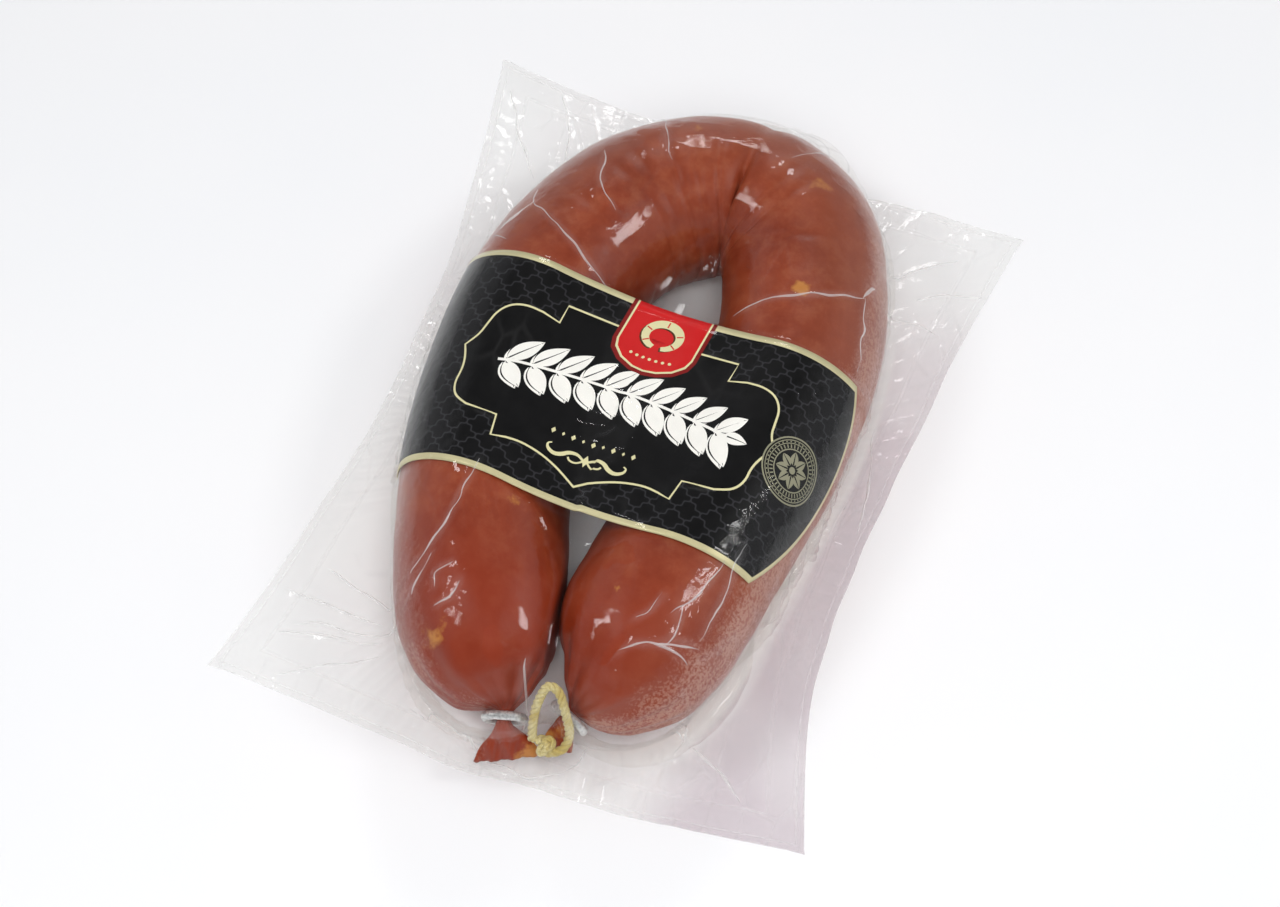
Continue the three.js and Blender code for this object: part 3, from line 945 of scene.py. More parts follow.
nearest_line = add(tree, "Math", {0: lines[0], 1: lines[1]}, operation="MINIMUM").outputs[0]
pen = add(
    tree,
    "MapRange",
    {"Value": nearest_line, "From Min": 0.20, "From Max": 0.10, "To Min": 0.0, "To Max": 1.0},
)
lattice = add(
    tree, "MixRGB", {"Fac": pen.outputs[0], "Color1": shade.outputs["Color"], "Color2": linear("#2f2f32")}
)
tree.links.new(lattice.outputs["Color"], surface.inputs["Base Color"])
ink_materials["black_lattice"] = lattice_black
print("inks:", sorted(ink_materials))

# %% Make the band
flat_u, flat_v = cut_points[:, 0], np.clip(cut_points[:, 1], -BAND_WIDTH / 2, BAND_WIDTH / 2)
wrapped = wrap_band(flat_u, flat_v, BAND_LIFT)
ripple = 0.16 * lumps(np.column_stack([cut_points, 0 * flat_u]), 24, 12) * soft_step(np.abs(flat_v), 6, 28)
wrapped[:, 2] += np.clip(ripple, -0.1, 0.4) * (wrapped[:, 2] > AXIS)
used = np.unique(cut_faces)
renumber = np.full(len(cut_points), -1)
renumber[used] = np.arange(len(used))
band = make_object(
    "printed_band",
    wrapped[used],
    renumber[cut_faces],
    [ink_materials[ink] for ink in INKS],
    fields={"u_mm": flat_u[used], "v_mm": flat_v[used]},
    indices=ink_of,
)
paper = band.modifiers.new("paper", "SOLIDIFY")
paper.thickness, paper.offset = 0.2 * MM, 0
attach(band, "root")
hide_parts("label")
print("band box mm", np.round(wrapped[used].min(0), 1), np.round(wrapped[used].max(0), 1))


# %% [markdown]
# ## Clips and twine
#
# Each end is closed by an aluminium clip: a wire bent round the gathered neck and squeezed, which
# leaves fine ribs from the die.  The hanging loop is a three strand cotton cord.  Sweeping a
# section along a path gives both; a twisted cord is three thin sweeps whose paths wind round one
# another, so its strands cast real shadows between them.

# %% Sweep a round section along a path
def sweep(path, radius, sides):
    """Points and faces of a tube along path; radius may change along it."""
    path = np.asarray(path, float)
    slope = np.gradient(path, axis=0)
    slope /= np.linalg.norm(slope, axis=1, keepdims=True)
    # a frame carried along without twist
    first = np.cross(slope[0], (0.3, 0.2, 0.93))
    axes = [first / np.linalg.norm(first)]
    for direction in slope[1:]:
        carried = axes[-1] - direction * (axes[-1] @ direction)
        axes.append(carried / np.linalg.norm(carried))
    axes = np.array(axes)
    other = np.cross(slope, axes)
    turn = np.linspace(0, 2 * np.pi, sides, endpoint=False)
    radius = np.ones((len(path), 1)) * np.asarray(radius, float).reshape(-1, 1)
    ring = path[:, None] + axes[:, None] * (radius * np.cos(turn))[..., None]
    ring = ring + other[:, None] * (radius * np.sin(turn))[..., None]
    tube = grid_faces(len(path), sides, closed=True).tolist()
    total = len(path) * sides
    tube += [list(range(sides))[::-1], list(range(total - sides, total))]
    return ring.reshape(-1, 3), tube


def join(parts):
    """Several pieces as one set of points and faces."""
    points, faces = [], []
    for own_points, own_faces in parts:
        faces += [[i + len(points) for i in face] for face in own_faces]
        points += own_points.tolist()
    return points, faces


print("a swept tube of 3 rings has", len(sweep([(0, 0, 0), (1, 0, 0), (2, 0, 0)], 1, 8)[1]), "faces")


# %% [markdown]
# The wire is aluminium, drawn through a die and squeezed shut.  Its skin has gone dull, so it looks
# whitish and soft rather than like a mirror; that is why it is not quite a full metal here.

# %% Drawn aluminium wire
clip_metal, tree, output = new_material("drawn_aluminium_wire")
place = add(tree, "TexCoord").outputs["Object"]
scuffs = add(tree, "TexNoise", {"Vector": place, "Scale": 1000 / 0.7, "Detail": 4.0})
dulled = add(tree, "ValToRGB", {"Fac": scuffs.outputs["Fac"]}, [(0.35, "#c4c6c6"), (0.65, "#f0f2f0")])
worn = add(
    tree,
    "MapRange",
    {"Value": scuffs.outputs["Fac"], "From Min": 0.3, "From Max": 0.7, "To Min": 0.34, "To Max": 0.52},
)
surface = add(
    tree, "BsdfPrincipled", {
        "Base Color": dulled.outputs["Color"], "Metallic": 0.7, "Roughness": worn.outputs[0]
    }
)
tree.links.new(surface.outputs["BSDF"], output.inputs["Surface"])
print("clip metal ready")


# %% Wire clips
def squarish(value, power):
    """A cosine or sine pushed outwards, so that a circle turns into a rounded box."""
    return np.sign(value) * np.abs(value) ** power


WIRE = 2.3
WIRE_STEP = 0.14
CLIP_WIDE, CLIP_HIGH = 8.9, 6.9  # along the middle of the wire
NECKS = {
    "clip_left": ((-0.3, -91.4, 17.2), (-1.2, -88.3, 17.9)),
    "clip_right": ((12.9, -85.9, 17.0), (14.2, -83.0, 17.6)),
}
for node, (outer, inner) in NECKS.items():
    outer, inner = np.array(outer), np.array(inner)
    direction = (outer - inner) / np.linalg.norm(outer - inner)
    level = np.cross(direction, (0, 0, 1.0))
    level /= np.linalg.norm(level)
    upright = np.cross(level, direction)
    turn = np.linspace(-np.pi / 2 + 0.05, 1.5 * np.pi - 0.05, 220)
    path = (
        (outer + inner) / 2
        + np.multiply.outer(squarish(np.cos(turn), 0.72) * CLIP_WIDE / 2, level)
        + np.multiply.outer(squarish(np.sin(turn), 0.8) * CLIP_HIGH / 2, upright)
    )
    path = spline(path[::6], WIRE_STEP)
    run = np.arange(len(path)) * WIRE_STEP
    end_taper = np.minimum(1, np.sqrt(np.clip(np.minimum(run, run[-1] - run) / 0.5, 0.02, 1)))
    ribs = 1 - 0.05 * np.abs(np.sin(run * np.pi / 0.95)) ** 0.6
    clip = make_object(node + "_wire", *sweep(path, WIRE / 2 * ribs * end_taper, 20), [clip_metal])
    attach(clip, "root")
    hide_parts(node)
print("clips made")

# %% [markdown]
# The cord is undyed cotton, three strands twisted together.  Fat from the sausage has soaked parts
# of it, which turns them from cream to a duller yellow.

# %% Cotton cord
cotton, tree, output = new_material("twisted_cotton_cord")
place = add(tree, "TexCoord").outputs["Object"]
fibres = add(tree, "TexNoise", {"Vector": place, "Scale": 1000 / 0.35, "Detail": 4.0})
soaked = add(tree, "TexNoise", {"Vector": place, "Scale": 1000 / 5.0, "Detail": 2.0})
dry_tone = add(tree, "ValToRGB", {"Fac": fibres.outputs["Fac"]}, [(0.3, "#b3a263"), (0.7, "#ddd3a4")])
greasy = add(
    tree,
    "MapRange",
    {"Value": soaked.outputs["Fac"], "From Min": 0.42, "From Max": 0.62, "To Min": 0.0, "To Max": 0.7},
)
tone = add(
    tree,
    "MixRGB",
    {"Fac": greasy.outputs[0], "Color1": dry_tone.outputs["Color"], "Color2": linear("#b39a48")},
)
fuzz = add(tree, "Bump", {"Height": fibres.outputs["Fac"], "Strength": 0.6, "Distance": 0.15 * MM})
surface = add(
    tree,
    "BsdfPrincipled",
    {
        "Base Color": tone.outputs["Color"],
        "Roughness": 0.62,
        "Sheen Weight": 0.25,
        "Normal": fuzz.outputs["Normal"],
    },
)
tree.links.new(surface.outputs["BSDF"], output.inputs["Surface"])
print("cord material ready")

# %% Twist the cord and tie its knot
LOOP = [
    (7.2, -92.4, 16.6), (6.6, -90, 20.6), (6.8, -86.6, 26), (8.4, -83.6, 29.8), (10.6, -83.6, 29),
    (13.6, -86.6, 24.8), (15.4, -89.4, 18.4), (14.4, -92, 15.4), (10.8, -93.6, 14.2),
]
CORD_STEP = 0.35
LAY = 4.6  # one full twist of the strands
loop = spline(LOOP, CORD_STEP)
turn = np.linspace(0, 2 * np.pi, 60)
KNOT_PLACE = np.array([10.4, -92.6, 16.6])
trefoil = np.stack(
    [
        np.sin(turn) + 2 * np.sin(2 * turn),
        1.3 * (np.cos(turn) - 2 * np.cos(2 * turn)),
        -0.9 * np.sin(3 * turn),
    ],
    1,
)[:-4]
knot = spline(KNOT_PLACE + trefoil * 0.62, CORD_STEP)
strands = []
for path, thick in ((loop, 1.0), (knot, 0.72)):
    slope = np.gradient(path, axis=0)
    slope /= np.linalg.norm(slope, axis=1, keepdims=True)
    flat = np.cross(slope, (0.1, 0.99, 0.1))
    flat /= np.linalg.norm(flat, axis=1, keepdims=True)
    cross_flat = np.cross(slope, flat)
    twist = np.arange(len(path)) * CORD_STEP * 2 * np.pi / LAY
    for k in range(3):
        turn = (twist + 2 * np.pi * k / 3)[:, None]
        wound = path + 0.56 * thick * (flat * np.cos(turn) + cross_flat * np.sin(turn))
        strands.append(sweep(wound, 0.62 * thick, 10))
cord = make_object("twine_cord", *join(strands), [cotton])
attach(cord, "root")
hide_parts("twine_loop")
print("cord strands", len(strands))


# %% [markdown]
# ## The vacuum pouch
#
# Two films are sealed at their edges and the air is drawn out, so the upper film is pressed onto
# every thing under it: it dives into the ring's hole and the notch between the ends, bridges
# where the wall is too steep, and gathers into wrinkles where there is more film than outline.
# Sculpting that is guesswork.  Blender's cloth could do it, yet it is slow for a film that must be
# stretched for good, so a short calculation of its own is used here.  It moves a sheet of points: air
# pushes, threads between points hold their length, what they touch holds them back, and threads
# that are drawn hard stay long, as warm film does.  It starts coarse and is refined twice.

# %% What the film falls on
CELL = 1.5
grid_x, grid_y, grid_z = np.arange(-90, 90.1, CELL), np.arange(-112, 112.1, CELL), np.arange(-6, 56.1, CELL)
plan_x, plan_y = np.meshgrid(grid_x, grid_y, indexing="ij")
away = np.sqrt((plan_x[..., None] - LINE[:, 0]) ** 2 + (plan_y[..., None] - LINE[:, 1]) ** 2)
closest = np.argmin(away - LINE[:, 3], axis=-1)
away = np.take_along_axis(away, closest[..., None], -1)
solid = np.sqrt(away**2 + (grid_z - LINE[closest, 2][..., None]) ** 2) - LINE[closest, 3][..., None]

# the band's upper face as heights over the plan
from_band = np.stack([plan_x, plan_y], -1) - BAND_CENTRE
band_a, band_v = from_band @ across_band, from_band @ along_band
left, right, middle, half, sag = band_section(band_v, 0.75)
bridge = AXIS + np.where(band_a < middle, left[1], right[1]) * math.cos(LEAVES) - sag * (
    1 - ((band_a - middle) / half) ** 2
)
over = np.full_like(bridge, -99.0)
on_bridge = np.abs(band_a - middle) <= half
over[on_bridge] = bridge[on_bridge]
for at, radius, lean in (left, right):
    offset = (band_a - at) * lean
    wraps = (np.abs(offset) < radius) & ~on_bridge
    over = np.where(wraps, AXIS + np.sqrt(np.maximum(radius**2 - offset**2, 0)), over)
under_band = (np.abs(band_v) < BAND_WIDTH / 2) & (band_a < 53) & (over > 0)
drop = (grid_z - over[..., None]) * 0.8
crust = np.where(under_band[..., None] & (drop > -9.6), np.maximum(drop, -6), 99)
solid = np.minimum(solid, crust)

# twine, clips and tails as small balls
balls = [(*p, 1.3) for p in spline(LOOP, 1.6)]
balls += [(-5.0 + 1.2 * i, -89.3 + 0.2 * i, 20.3, 1.5) for i in range(9)]
balls += [
    (-5.5 + 1.2 * i, -96.0, 10.6, 1.4) for i in range(14)
] + [(-3.6 + 1.2 * i, -93.8, 13.8, 1.6) for i in range(9)]
for x, y, z, radius in balls:
    reach = np.sqrt((plan_x - x)[..., None] ** 2 + (plan_y - y)[..., None] ** 2 + (grid_z - z) ** 2) - radius
    solid = np.minimum(solid, reach)
steepest = np.stack(np.gradient(solid, CELL), -1)
steepest /= np.maximum(np.linalg.norm(steepest, axis=-1, keepdims=True), 1e-6)
FIELD = np.concatenate([solid[..., None], steepest], -1).reshape(-1, 4)


def distance_and_way_out(points):
    """How far each point is from what lies inside the pouch, and which way leads out."""
    sizes = solid.shape
    q = (points - (grid_x[0], grid_y[0], grid_z[0])) / CELL
    q = np.clip(q, 0, np.array(sizes) - 1.001)
    i = q.astype(int)
    f = q - i
    first = (i[..., 0] * sizes[1] + i[..., 1]) * sizes[2] + i[..., 2]
    total = 0.0
    for a in (0, 1):
        for b in (0, 1):
            for c in (0, 1):
                weight = np.abs(1 - a - f[..., 0]) * np.abs(1 - b - f[..., 1]) * np.abs(1 - c - f[..., 2])
                total = total + FIELD[first + (a * sizes[1] + b) * sizes[2] + c] * weight[..., None]
    return total[..., 0], total[..., 1:]


print("field", solid.shape)

# %% The pouch's outline
NEAR_EDGE = [(-78, -98), (-40, -100.5), (0, -101.5), (40, -99.5), (77, -94)]
FAR_EDGE = [(-78, 101.5), (-40, 92), (0, 88.5), (40, 89), (78, 91)]
LEFT_EDGE = [(-78, -98), (-70, -55), (-65.5, -10), (-65, 33), (-71, 70), (-78, 101.5)]
RIGHT_EDGE = [(77, -94), (68, -60), (65.5, -20), (69, 26), (74, 60), (78, 91)]


def edge_line(corners, count):
    """An edge of the pouch as count even points."""
    fine = spline([(x, y, 0) for x, y in corners], 0.5)[:, :2]
    run = np.linspace(0, 1, len(fine))
    return np.stack([np.interp(np.linspace(0, 1, count), run, column) for column in fine.T], 1)


def patch(near, far, left_side, right_side):
    """A grid of plan points that fills four edges evenly."""
    s = np.linspace(0, 1, len(near))[None, :, None]
    t = np.linspace(0, 1, len(left_side))[:, None, None]
    near, far, left_side, right_side = near[None], far[None], left_side[:, None], right_side[:, None]
    corners = (1 - s) * (1 - t) * near[:, :1] + s * (1 - t) * near[:, -1:]
    corners = corners + (1 - s) * t * far[:, :1] + s * t * far[:, -1:]
    return near * (1 - t) + far * t + left_side * (1 - s) + right_side * s - corners


def seam_height(x, y):
    """The height at which the two films meet."""
    return 9.3 - 2.1 * np.clip((x / 78) ** 2 + (y / 101.5) ** 2, 0, 2.2)


print("pouch corners about", NEAR_EDGE[0], "to", FAR_EDGE[-1], "mm")

# %% [markdown]
# The sheet is moved in many small steps.  In each one the air presses it down, its threads are put
# back to length, and whatever has gone into the goods is pushed out again.  A thread may be crushed
# more easily than stretched, as a film wrinkles before it gives.

# %% How a sheet of film moves
def pull(a, b, rest, taut, slack):
    """Moves two sets of points so that threads keep their length: taut and slack say how firmly."""
    thread = b - a
    length = np.sqrt((thread * thread).sum(-1)) + 1e-9
    over_long = (length - rest) / length
    share = np.where(over_long > 0, over_long * taut, over_long * slack)[..., None] * 0.5
    a += thread * share
    b -= thread * share


def hold_lengths(sheet, rest_across, rest_along, step, crush, stiffness):
    """One pass over all threads: straight, crossed, and the long ones that resist a sharp bend."""
    for a in (0, 1):
        count = sheet[:, a:-1:2].shape[1]
        pull(sheet[:, a:-1:2], sheet[:, a + 1 :: 2][:, :count], rest_across[:, a::2][:, :count], 0.8, crush)
        count = sheet[a:-1:2].shape[0]
        pull(sheet[a:-1:2], sheet[a + 1 :: 2][:count], rest_along[a::2][:count], 0.8, crush)
        diagonal = math.hypot(*step)
        pull(sheet[a:-1:2, :-1], sheet[a + 1 :: 2, 1:][:count], diagonal, 0.15, crush * 0.4)
        pull(sheet[a:-1:2, 1:], sheet[a + 1 :: 2, :-1][:count], diagonal, 0.15, crush * 0.4)
    for a in (0, 1, 2, 3):
        ahead = sheet[:, a:-2:4]
        pull(ahead, sheet[:, a + 2 :: 4][:, : ahead.shape[1]], 2 * step[0], 0.0, stiffness)
        ahead = sheet[a:-2:4]
        pull(ahead, sheet[a + 2 :: 4][: ahead.shape[0]], 2 * step[1], 0.0, stiffness)


def facing(sheet):
    """The unit normal at each point of a sheet."""
    u, v = np.gradient(sheet, axis=1), np.gradient(sheet, axis=0)
    n = np.cross(u, v)
    return n / np.maximum(np.linalg.norm(n, axis=-1, keepdims=True), 1e-9)


CLEARANCE = 0.35  # between the film's middle and what it covers


def draw_down(sheet, step, rounds, vacuum, crush, stiffness, outline, draw):
    """Presses the sheet onto what is under it."""
    before = sheet.copy()
    rest_across = np.full(sheet[:, 1:].shape[:2], step[0])
    rest_along = np.full(sheet[1:].shape[:2], step[1])
    for i in range(rounds):
        speed = (sheet - before) * 0.92
        before = sheet.copy()
        sheet = sheet + speed - facing(sheet) * vacuum
        sheet[..., 2] -= 0.3 * vacuum
        sheet += draw.normal(0, 0.02 * (1 - i / rounds), sheet.shape)
        for _ in range(2):
            hold_lengths(sheet, rest_across, rest_along, step, crush, stiffness)
        if i % 5 == 0:  # what is drawn hard stays long
            for rest, threads in (
                (rest_across, sheet[:, 1:] - sheet[:, :-1]), (rest_along, sheet[1:] - sheet[:-1])
            ):
                rest += np.maximum(np.linalg.norm(threads, axis=-1) - rest * 1.015, 0) * 0.12
        for rim in ((0, slice(None)), (-1, slice(None)), (slice(None), 0), (slice(None), -1)):
            sheet[rim][..., :2] += (outline[rim] - sheet[rim][..., :2]) * 0.05
        away, way_out = distance_and_way_out(sheet)
        push = np.maximum(CLEARANCE - away, 0)[..., None]
        sheet = sheet + way_out * push
        sheet = np.where(push > 0, before + (sheet - before) * 0.85, sheet)  # it clings where it touches
        lowest = seam_height(sheet[..., 0], sheet[..., 1])
        on_seam = (sheet[..., 2] < lowest)[..., None]
        sheet[..., 2] = np.maximum(sheet[..., 2], lowest)
        sheet[..., :2] = np.where(
            on_seam, before[..., :2] + (sheet[..., :2] - before[..., :2]) * 0.9, sheet[..., :2]
        )
    return sheet


def resize(sheet, rows, columns):
    """The sheet cut again to rows and columns, on smooth curves through its points."""
    for axis, count in ((0, rows), (1, columns)):
        n = sheet.shape[axis]
        where_to = np.linspace(0, n - 1, count)
        i = np.clip(where_to.astype(int), 0, n - 2)
        f = where_to - i
        f = f.reshape((-1, 1, 1) if axis == 0 else (1, -1, 1))
        before, here, there, after = (
            np.take(sheet, np.clip(i + k, 0, n - 1), axis=axis) for k in (-1, 0, 1, 2)
        )
        sheet = (
            here
            + 0.5 * f * (there - before)
            + f**2 * (before - 2.5 * here + 2 * there - 0.5 * after)
            + f**3 * (1.5 * (here - there) + 0.5 * (after - before))
        )
    return sheet


print("film rules ready, clearance %.2f mm" % CLEARANCE)

# %% Shrink the upper film
FILM_WIDE, FILM_LONG = 137.0, 193.0  # the flat film between its seals
# thread spacing in mm, rounds, air pressure, and how firmly threads resist shortening and bending
LEVELS = [(5.2, 300, 0.5, 0.5, 0.05), (2.6, 240, 0.3, 0.7, 0.08), (1.3, 260, 0.16, 0.9, 0.12)]
draw = np.random.default_rng(7)
sheet = None
for spacing, rounds, vacuum, crush, stiffness in LEVELS:
    columns, rows = int(round(FILM_WIDE / spacing)) + 1, int(round(FILM_LONG / spacing)) + 1
    outline = patch(
        edge_line(NEAR_EDGE, columns),
        edge_line(FAR_EDGE, columns),
        edge_line(LEFT_EDGE, rows),
        edge_line(RIGHT_EDGE, rows),
    )
    if sheet is None:
        sheet = np.concatenate([outline, np.full((rows, columns, 1), 46.0)], -1)
    else:
        sheet = resize(sheet, rows, columns)
    step = (FILM_WIDE / (columns - 1), FILM_LONG / (rows - 1))
    sheet = draw_down(sheet, step, rounds, vacuum, crush, stiffness, outline, draw)
    print("film at %.1f mm: %d points, highest %.1f mm" % (spacing, rows * columns, sheet[..., 2].max()))

# %% [markdown]
# ## Wrinkles, pleats and the lower film
#
# The shrinking gives the film's broad shape.  What is finer than its threads is laid on afterwards:
# gathers that run out from the ring's foot, slow waves of the free flange, and the few pleats
# where film was folded on itself.  Each pleat is a low ridge in the sheet with a thin folded strip
# laid along it, because a strip stays crisp where the sheet's own points are too far apart.  Masks
# remember where film is doubled or finely crinkled, because there it looks milk-white or sparkles,
# where painted light lifts the shaded hollows, and where painted shade darkens the right flange.

# %% Gathers and waves
FINE_ROWS, FINE_COLUMNS = 400, 284
sheet = resize(sheet, FINE_ROWS, FINE_COLUMNS)
film_x, film_y = sheet[..., 0], sheet[..., 1]
gap_to_line = np.sqrt((film_x[..., None] - LINE[::2, 0]) ** 2 + (film_y[..., None] - LINE[::2, 1]) ** 2)
closest = np.argmin(gap_to_line - LINE[::2, 3], axis=-1)
beyond = np.take_along_axis(gap_to_line, closest[..., None], -1)[..., 0] - LINE[::2, 3][closest]
bearing = np.arctan2(film_y + 10, film_x - 1)  # round the ring's middle
on_flange = soft_step(beyond, 0.5, 4) * (sheet[..., 2] < 22)
film_plan = np.column_stack([film_x.ravel(), film_y.ravel(), 0 * film_x.ravel()])


def field_lumps(size, seed):
    """Unevenness over the film's plan."""
    return lumps(film_plan, size, seed).reshape(film_x.shape)


fan = bearing * 42 + 1.6 * field_lumps(40, 31)
gathers = np.abs(np.sin(fan)) * 0.6 + 0.4 * np.abs(np.sin(2.3 * fan + 1.0))
where_gathered = np.clip(0.35 + 0.9 * field_lumps(34, 32), 0, 1)
gather_height = 0.95 * where_gathered * gathers * soft_step(beyond, -3, 2) * (1 - soft_step(beyond, 5, 24))
waves = 0.7 * field_lumps(60, 33) * soft_step(beyond, 4, 24) + 0.32 * field_lumps(17, 34) * on_flange
crinkle = 0.15 * field_lumps(6.5, 35) * on_flange + 0.03 * field_lumps(8, 36)

print("gathers up to %.2f mm high" % gather_height.max())

# %% Pleats
# height, width and path of each pleat, in plan millimetres
PLEATS = [
    (0.75, 0.50, [(16.9, 24), (24, 28), (31.3, 30.9), (38, 34), (46.1, 38.9)]),
    (0.70, 0.45, [(46.1, 38.9), (48.8, 28), (50.7, 17.7)]),
    (0.85, 1.30, [(46.1, 38.9), (47, 50), (46.4, 59)]),
    (0.60, 0.45, [(-42.7, 41.9), (-40.9, 36.2), (-36.9, 32.9), (-24, 25), (-11.4, 18.5)]),
    (0.55, 0.45, [(-40.9, 36.2), (-47.7, 28.3)]),
    (0.45, 0.45, [(-25.7, -39.3), (-27, -50), (-27.8, -59.5), (-34.2, -74.5)]),
    (0.55, 0.40, [(-27.8, -64.5), (-29, -71), (-29.8, -76.7)]),
    (0.60, 0.55, [(2.0, -81.1), (2.4, -85), (3.1, -88.4)]),
    (0.75, 0.55, [(20.5, -74.8), (25, -71), (29.5, -69.4), (34, -69), (38, -69.2)]),
    (0.70, 0.55, [(38, -69.2), (42, -63), (44.5, -56)]),
    (0.80, 0.90, [(29.5, -69.4), (34, -66.5), (39, -65)]),
    (0.45, 0.40, [(38.5, -63.6), (40.2, -50), (40.4, -37.2)]),
    (0.45, 0.40, [(31, -62), (35.5, -52), (37.4, -44)]),
    (0.65, 0.60, [(36, -73.8), (40.3, -76.5), (38.6, -81)]),
    (0.80, 0.80, [(36.3, -79), (43.3, -78.6), (51, -81.5), (57, -87)]),
    (0.60, 0.50, [(-38, -79), (-50, -80.5), (-63, -83)]),
    (0.60, 0.50, [(-37, -82), (-49, -88), (-59, -94)]),
    (0.45, 0.45, [(-40, -74), (-52, -73), (-66, -72)]),
    (0.60, 0.60, [(-24.8, -92), (-12, -95.5), (-1.2, -98.2), (8.6, -97.6), (14.8, -94.4), (21.9, -88)]),
    (0.55, 0.50, [(55, 62), (63, 66), (72, 69)]),
    (0.50, 0.45, [(57, 19.3), (60, 5), (62, -10)]),
    (0.50, 0.45, [(-53, 63), (-62, 76), (-70, 90)]),
    (0.45, 0.45, [(-46, 70), (-50, 82), (-56, 93)]),
    (0.35, 0.40, [(-12, 58), (-20, 74), (-27, 83)]),
    (0.35, 0.40, [(16, 70), (24, 79), (30, 86)]),
    (0.30, 0.35, [(-30, 57), (-26, 45), (-20, 40)]),
    (0.60, 0.40, [(23, -66), (26, -62.5), (27.5, -58)]),
    (0.55, 0.40, [(32, -58), (33, -63), (31.5, -68)]),
    (0.50, 0.40, [(-22, -66), (-25, -69.5), (-24, -73)]),
    (0.45, 0.40, [(-18.5, -70), (-19, -74), (-22, -77)]),
    (0.55, 0.55, [(-35, -74), (-44, -78), (-53, -77.5), (-60, -80)]),
    (0.55, 0.55, [(-36, -70), (-46, -67), (-58, -64)]),
    (0.50, 0.50, [(-44, 24), (-52, 28), (-60, 27)]),
    (0.55, 0.55, [(48, 50), (56, 54), (63, 53)]),
    (0.55, 0.55, [(44, 62), (52, 70), (62, 77)]),
]
# spots where the film is finely crinkled: place, size and amount
CRINKLES = [
    (-24, -72, 9, 1.0), (-20, -63, 6, 0.7), (27, -62, 9, 0.8), (34, -72, 7, 0.8), (-33, 38, 9, 0.8),
    (-20, 68, 10, 0.5), (40, 8, 8, 0.5), (-34, -40, 8, 0.5), (20, 62, 8, 0.5),
]
FINEST_RIDGE = 0.7  # the sheet's points are half a millimetre apart
pleat_height = np.zeros_like(film_x)
pleat_mask = np.zeros_like(film_x)
for height, width, path in PLEATS:
    fine = spline([(x, y, 0) for x, y in path], 0.6)[:, :2]
    low, high = fine.min(0) - 6, fine.max(0) + 6
    near = np.flatnonzero(((film_plan[:, :2] >= low) & (film_plan[:, :2] <= high)).all(1))
    span = np.linalg.norm(film_plan[near, None, :2] - fine[None], axis=-1)
    nearest_step = span.argmin(1)
    fade = np.sin(np.pi * np.clip((nearest_step + 2) / (len(fine) + 4), 0, 1)) ** 0.5
    width = max(width, FINEST_RIDGE)
    ridge = np.exp(-((span.min(1) / width) ** 2)) * fade
    pleat_height.ravel()[near] = np.maximum(pleat_height.ravel()[near], 0.35 * height * ridge)
    broad_ridge = np.exp(-((span.min(1) / (width * 1.2)) ** 2)) * fade
    pleat_mask.ravel()[near] = np.maximum(pleat_mask.ravel()[near], broad_ridge)

print("pleats", len(PLEATS))

# %% Lay them on the sheet and remember where
lift = gather_height + crinkle + pleat_height
sheet = sheet + facing(sheet) * lift[..., None]
sheet[..., 2] += waves * on_flange
s = np.linspace(0, 1, sheet.shape[1])[None, :]
t = np.linspace(0, 1, sheet.shape[0])[:, None]
edge_mm = np.minimum(np.minimum(s, 1 - s) * FILM_WIDE, np.minimum(t, 1 - t) * FILM_LONG)
sheet[..., 2] = np.maximum(sheet[..., 2], 1.2)
loose_mask = 0.12 + 0.88 * on_flange
crinkled = np.full_like(film_x, 0.10) + 0.25 * on_flange
for x, y, size, amount in CRINKLES:
    crinkled += amount * np.exp(-((film_x - x) ** 2 + (film_y - y) ** 2) / size**2)
# painted shade: the broad flange on the right lies at a slant and is tinted a little darker
shade = on_flange * (0.18 + 0.62 * soft_step(film_x, 30, 58) * (1 - soft_step(film_y, 30, 66)))
# the two films whiten in the ring's hole and in the notch, partly where they weld together
# and partly as painted light that lifts these shaded hollows
HOLLOW_TOP = 24
in_hole = (film_y > 8) & (film_y < 56)
in_notch = (film_y < -38) & (film_y > -66)
painted_light_in_hollow = soft_step(HOLLOW_TOP - sheet[..., 2], 0, 9) * (np.abs(film_x) < 26)
painted_light_in_hollow = painted_light_in_hollow * (1.5 * in_hole + 0.25 * in_notch)
gathered = gather_height * (sheet[..., 2] < HOLLOW_TOP)
# white haze where film is pleated, gathered or doubled, plus painted light in the shaded hollows
milky_and_painted_light = np.clip(0.16 * pleat_mask + 0.22 * gathered + 0.01 * (beyond > 2) + painted_light_in_hollow, 0, 1.7)
print("upper film", sheet.shape, "highest %.1f mm" % sheet[..., 2].max())

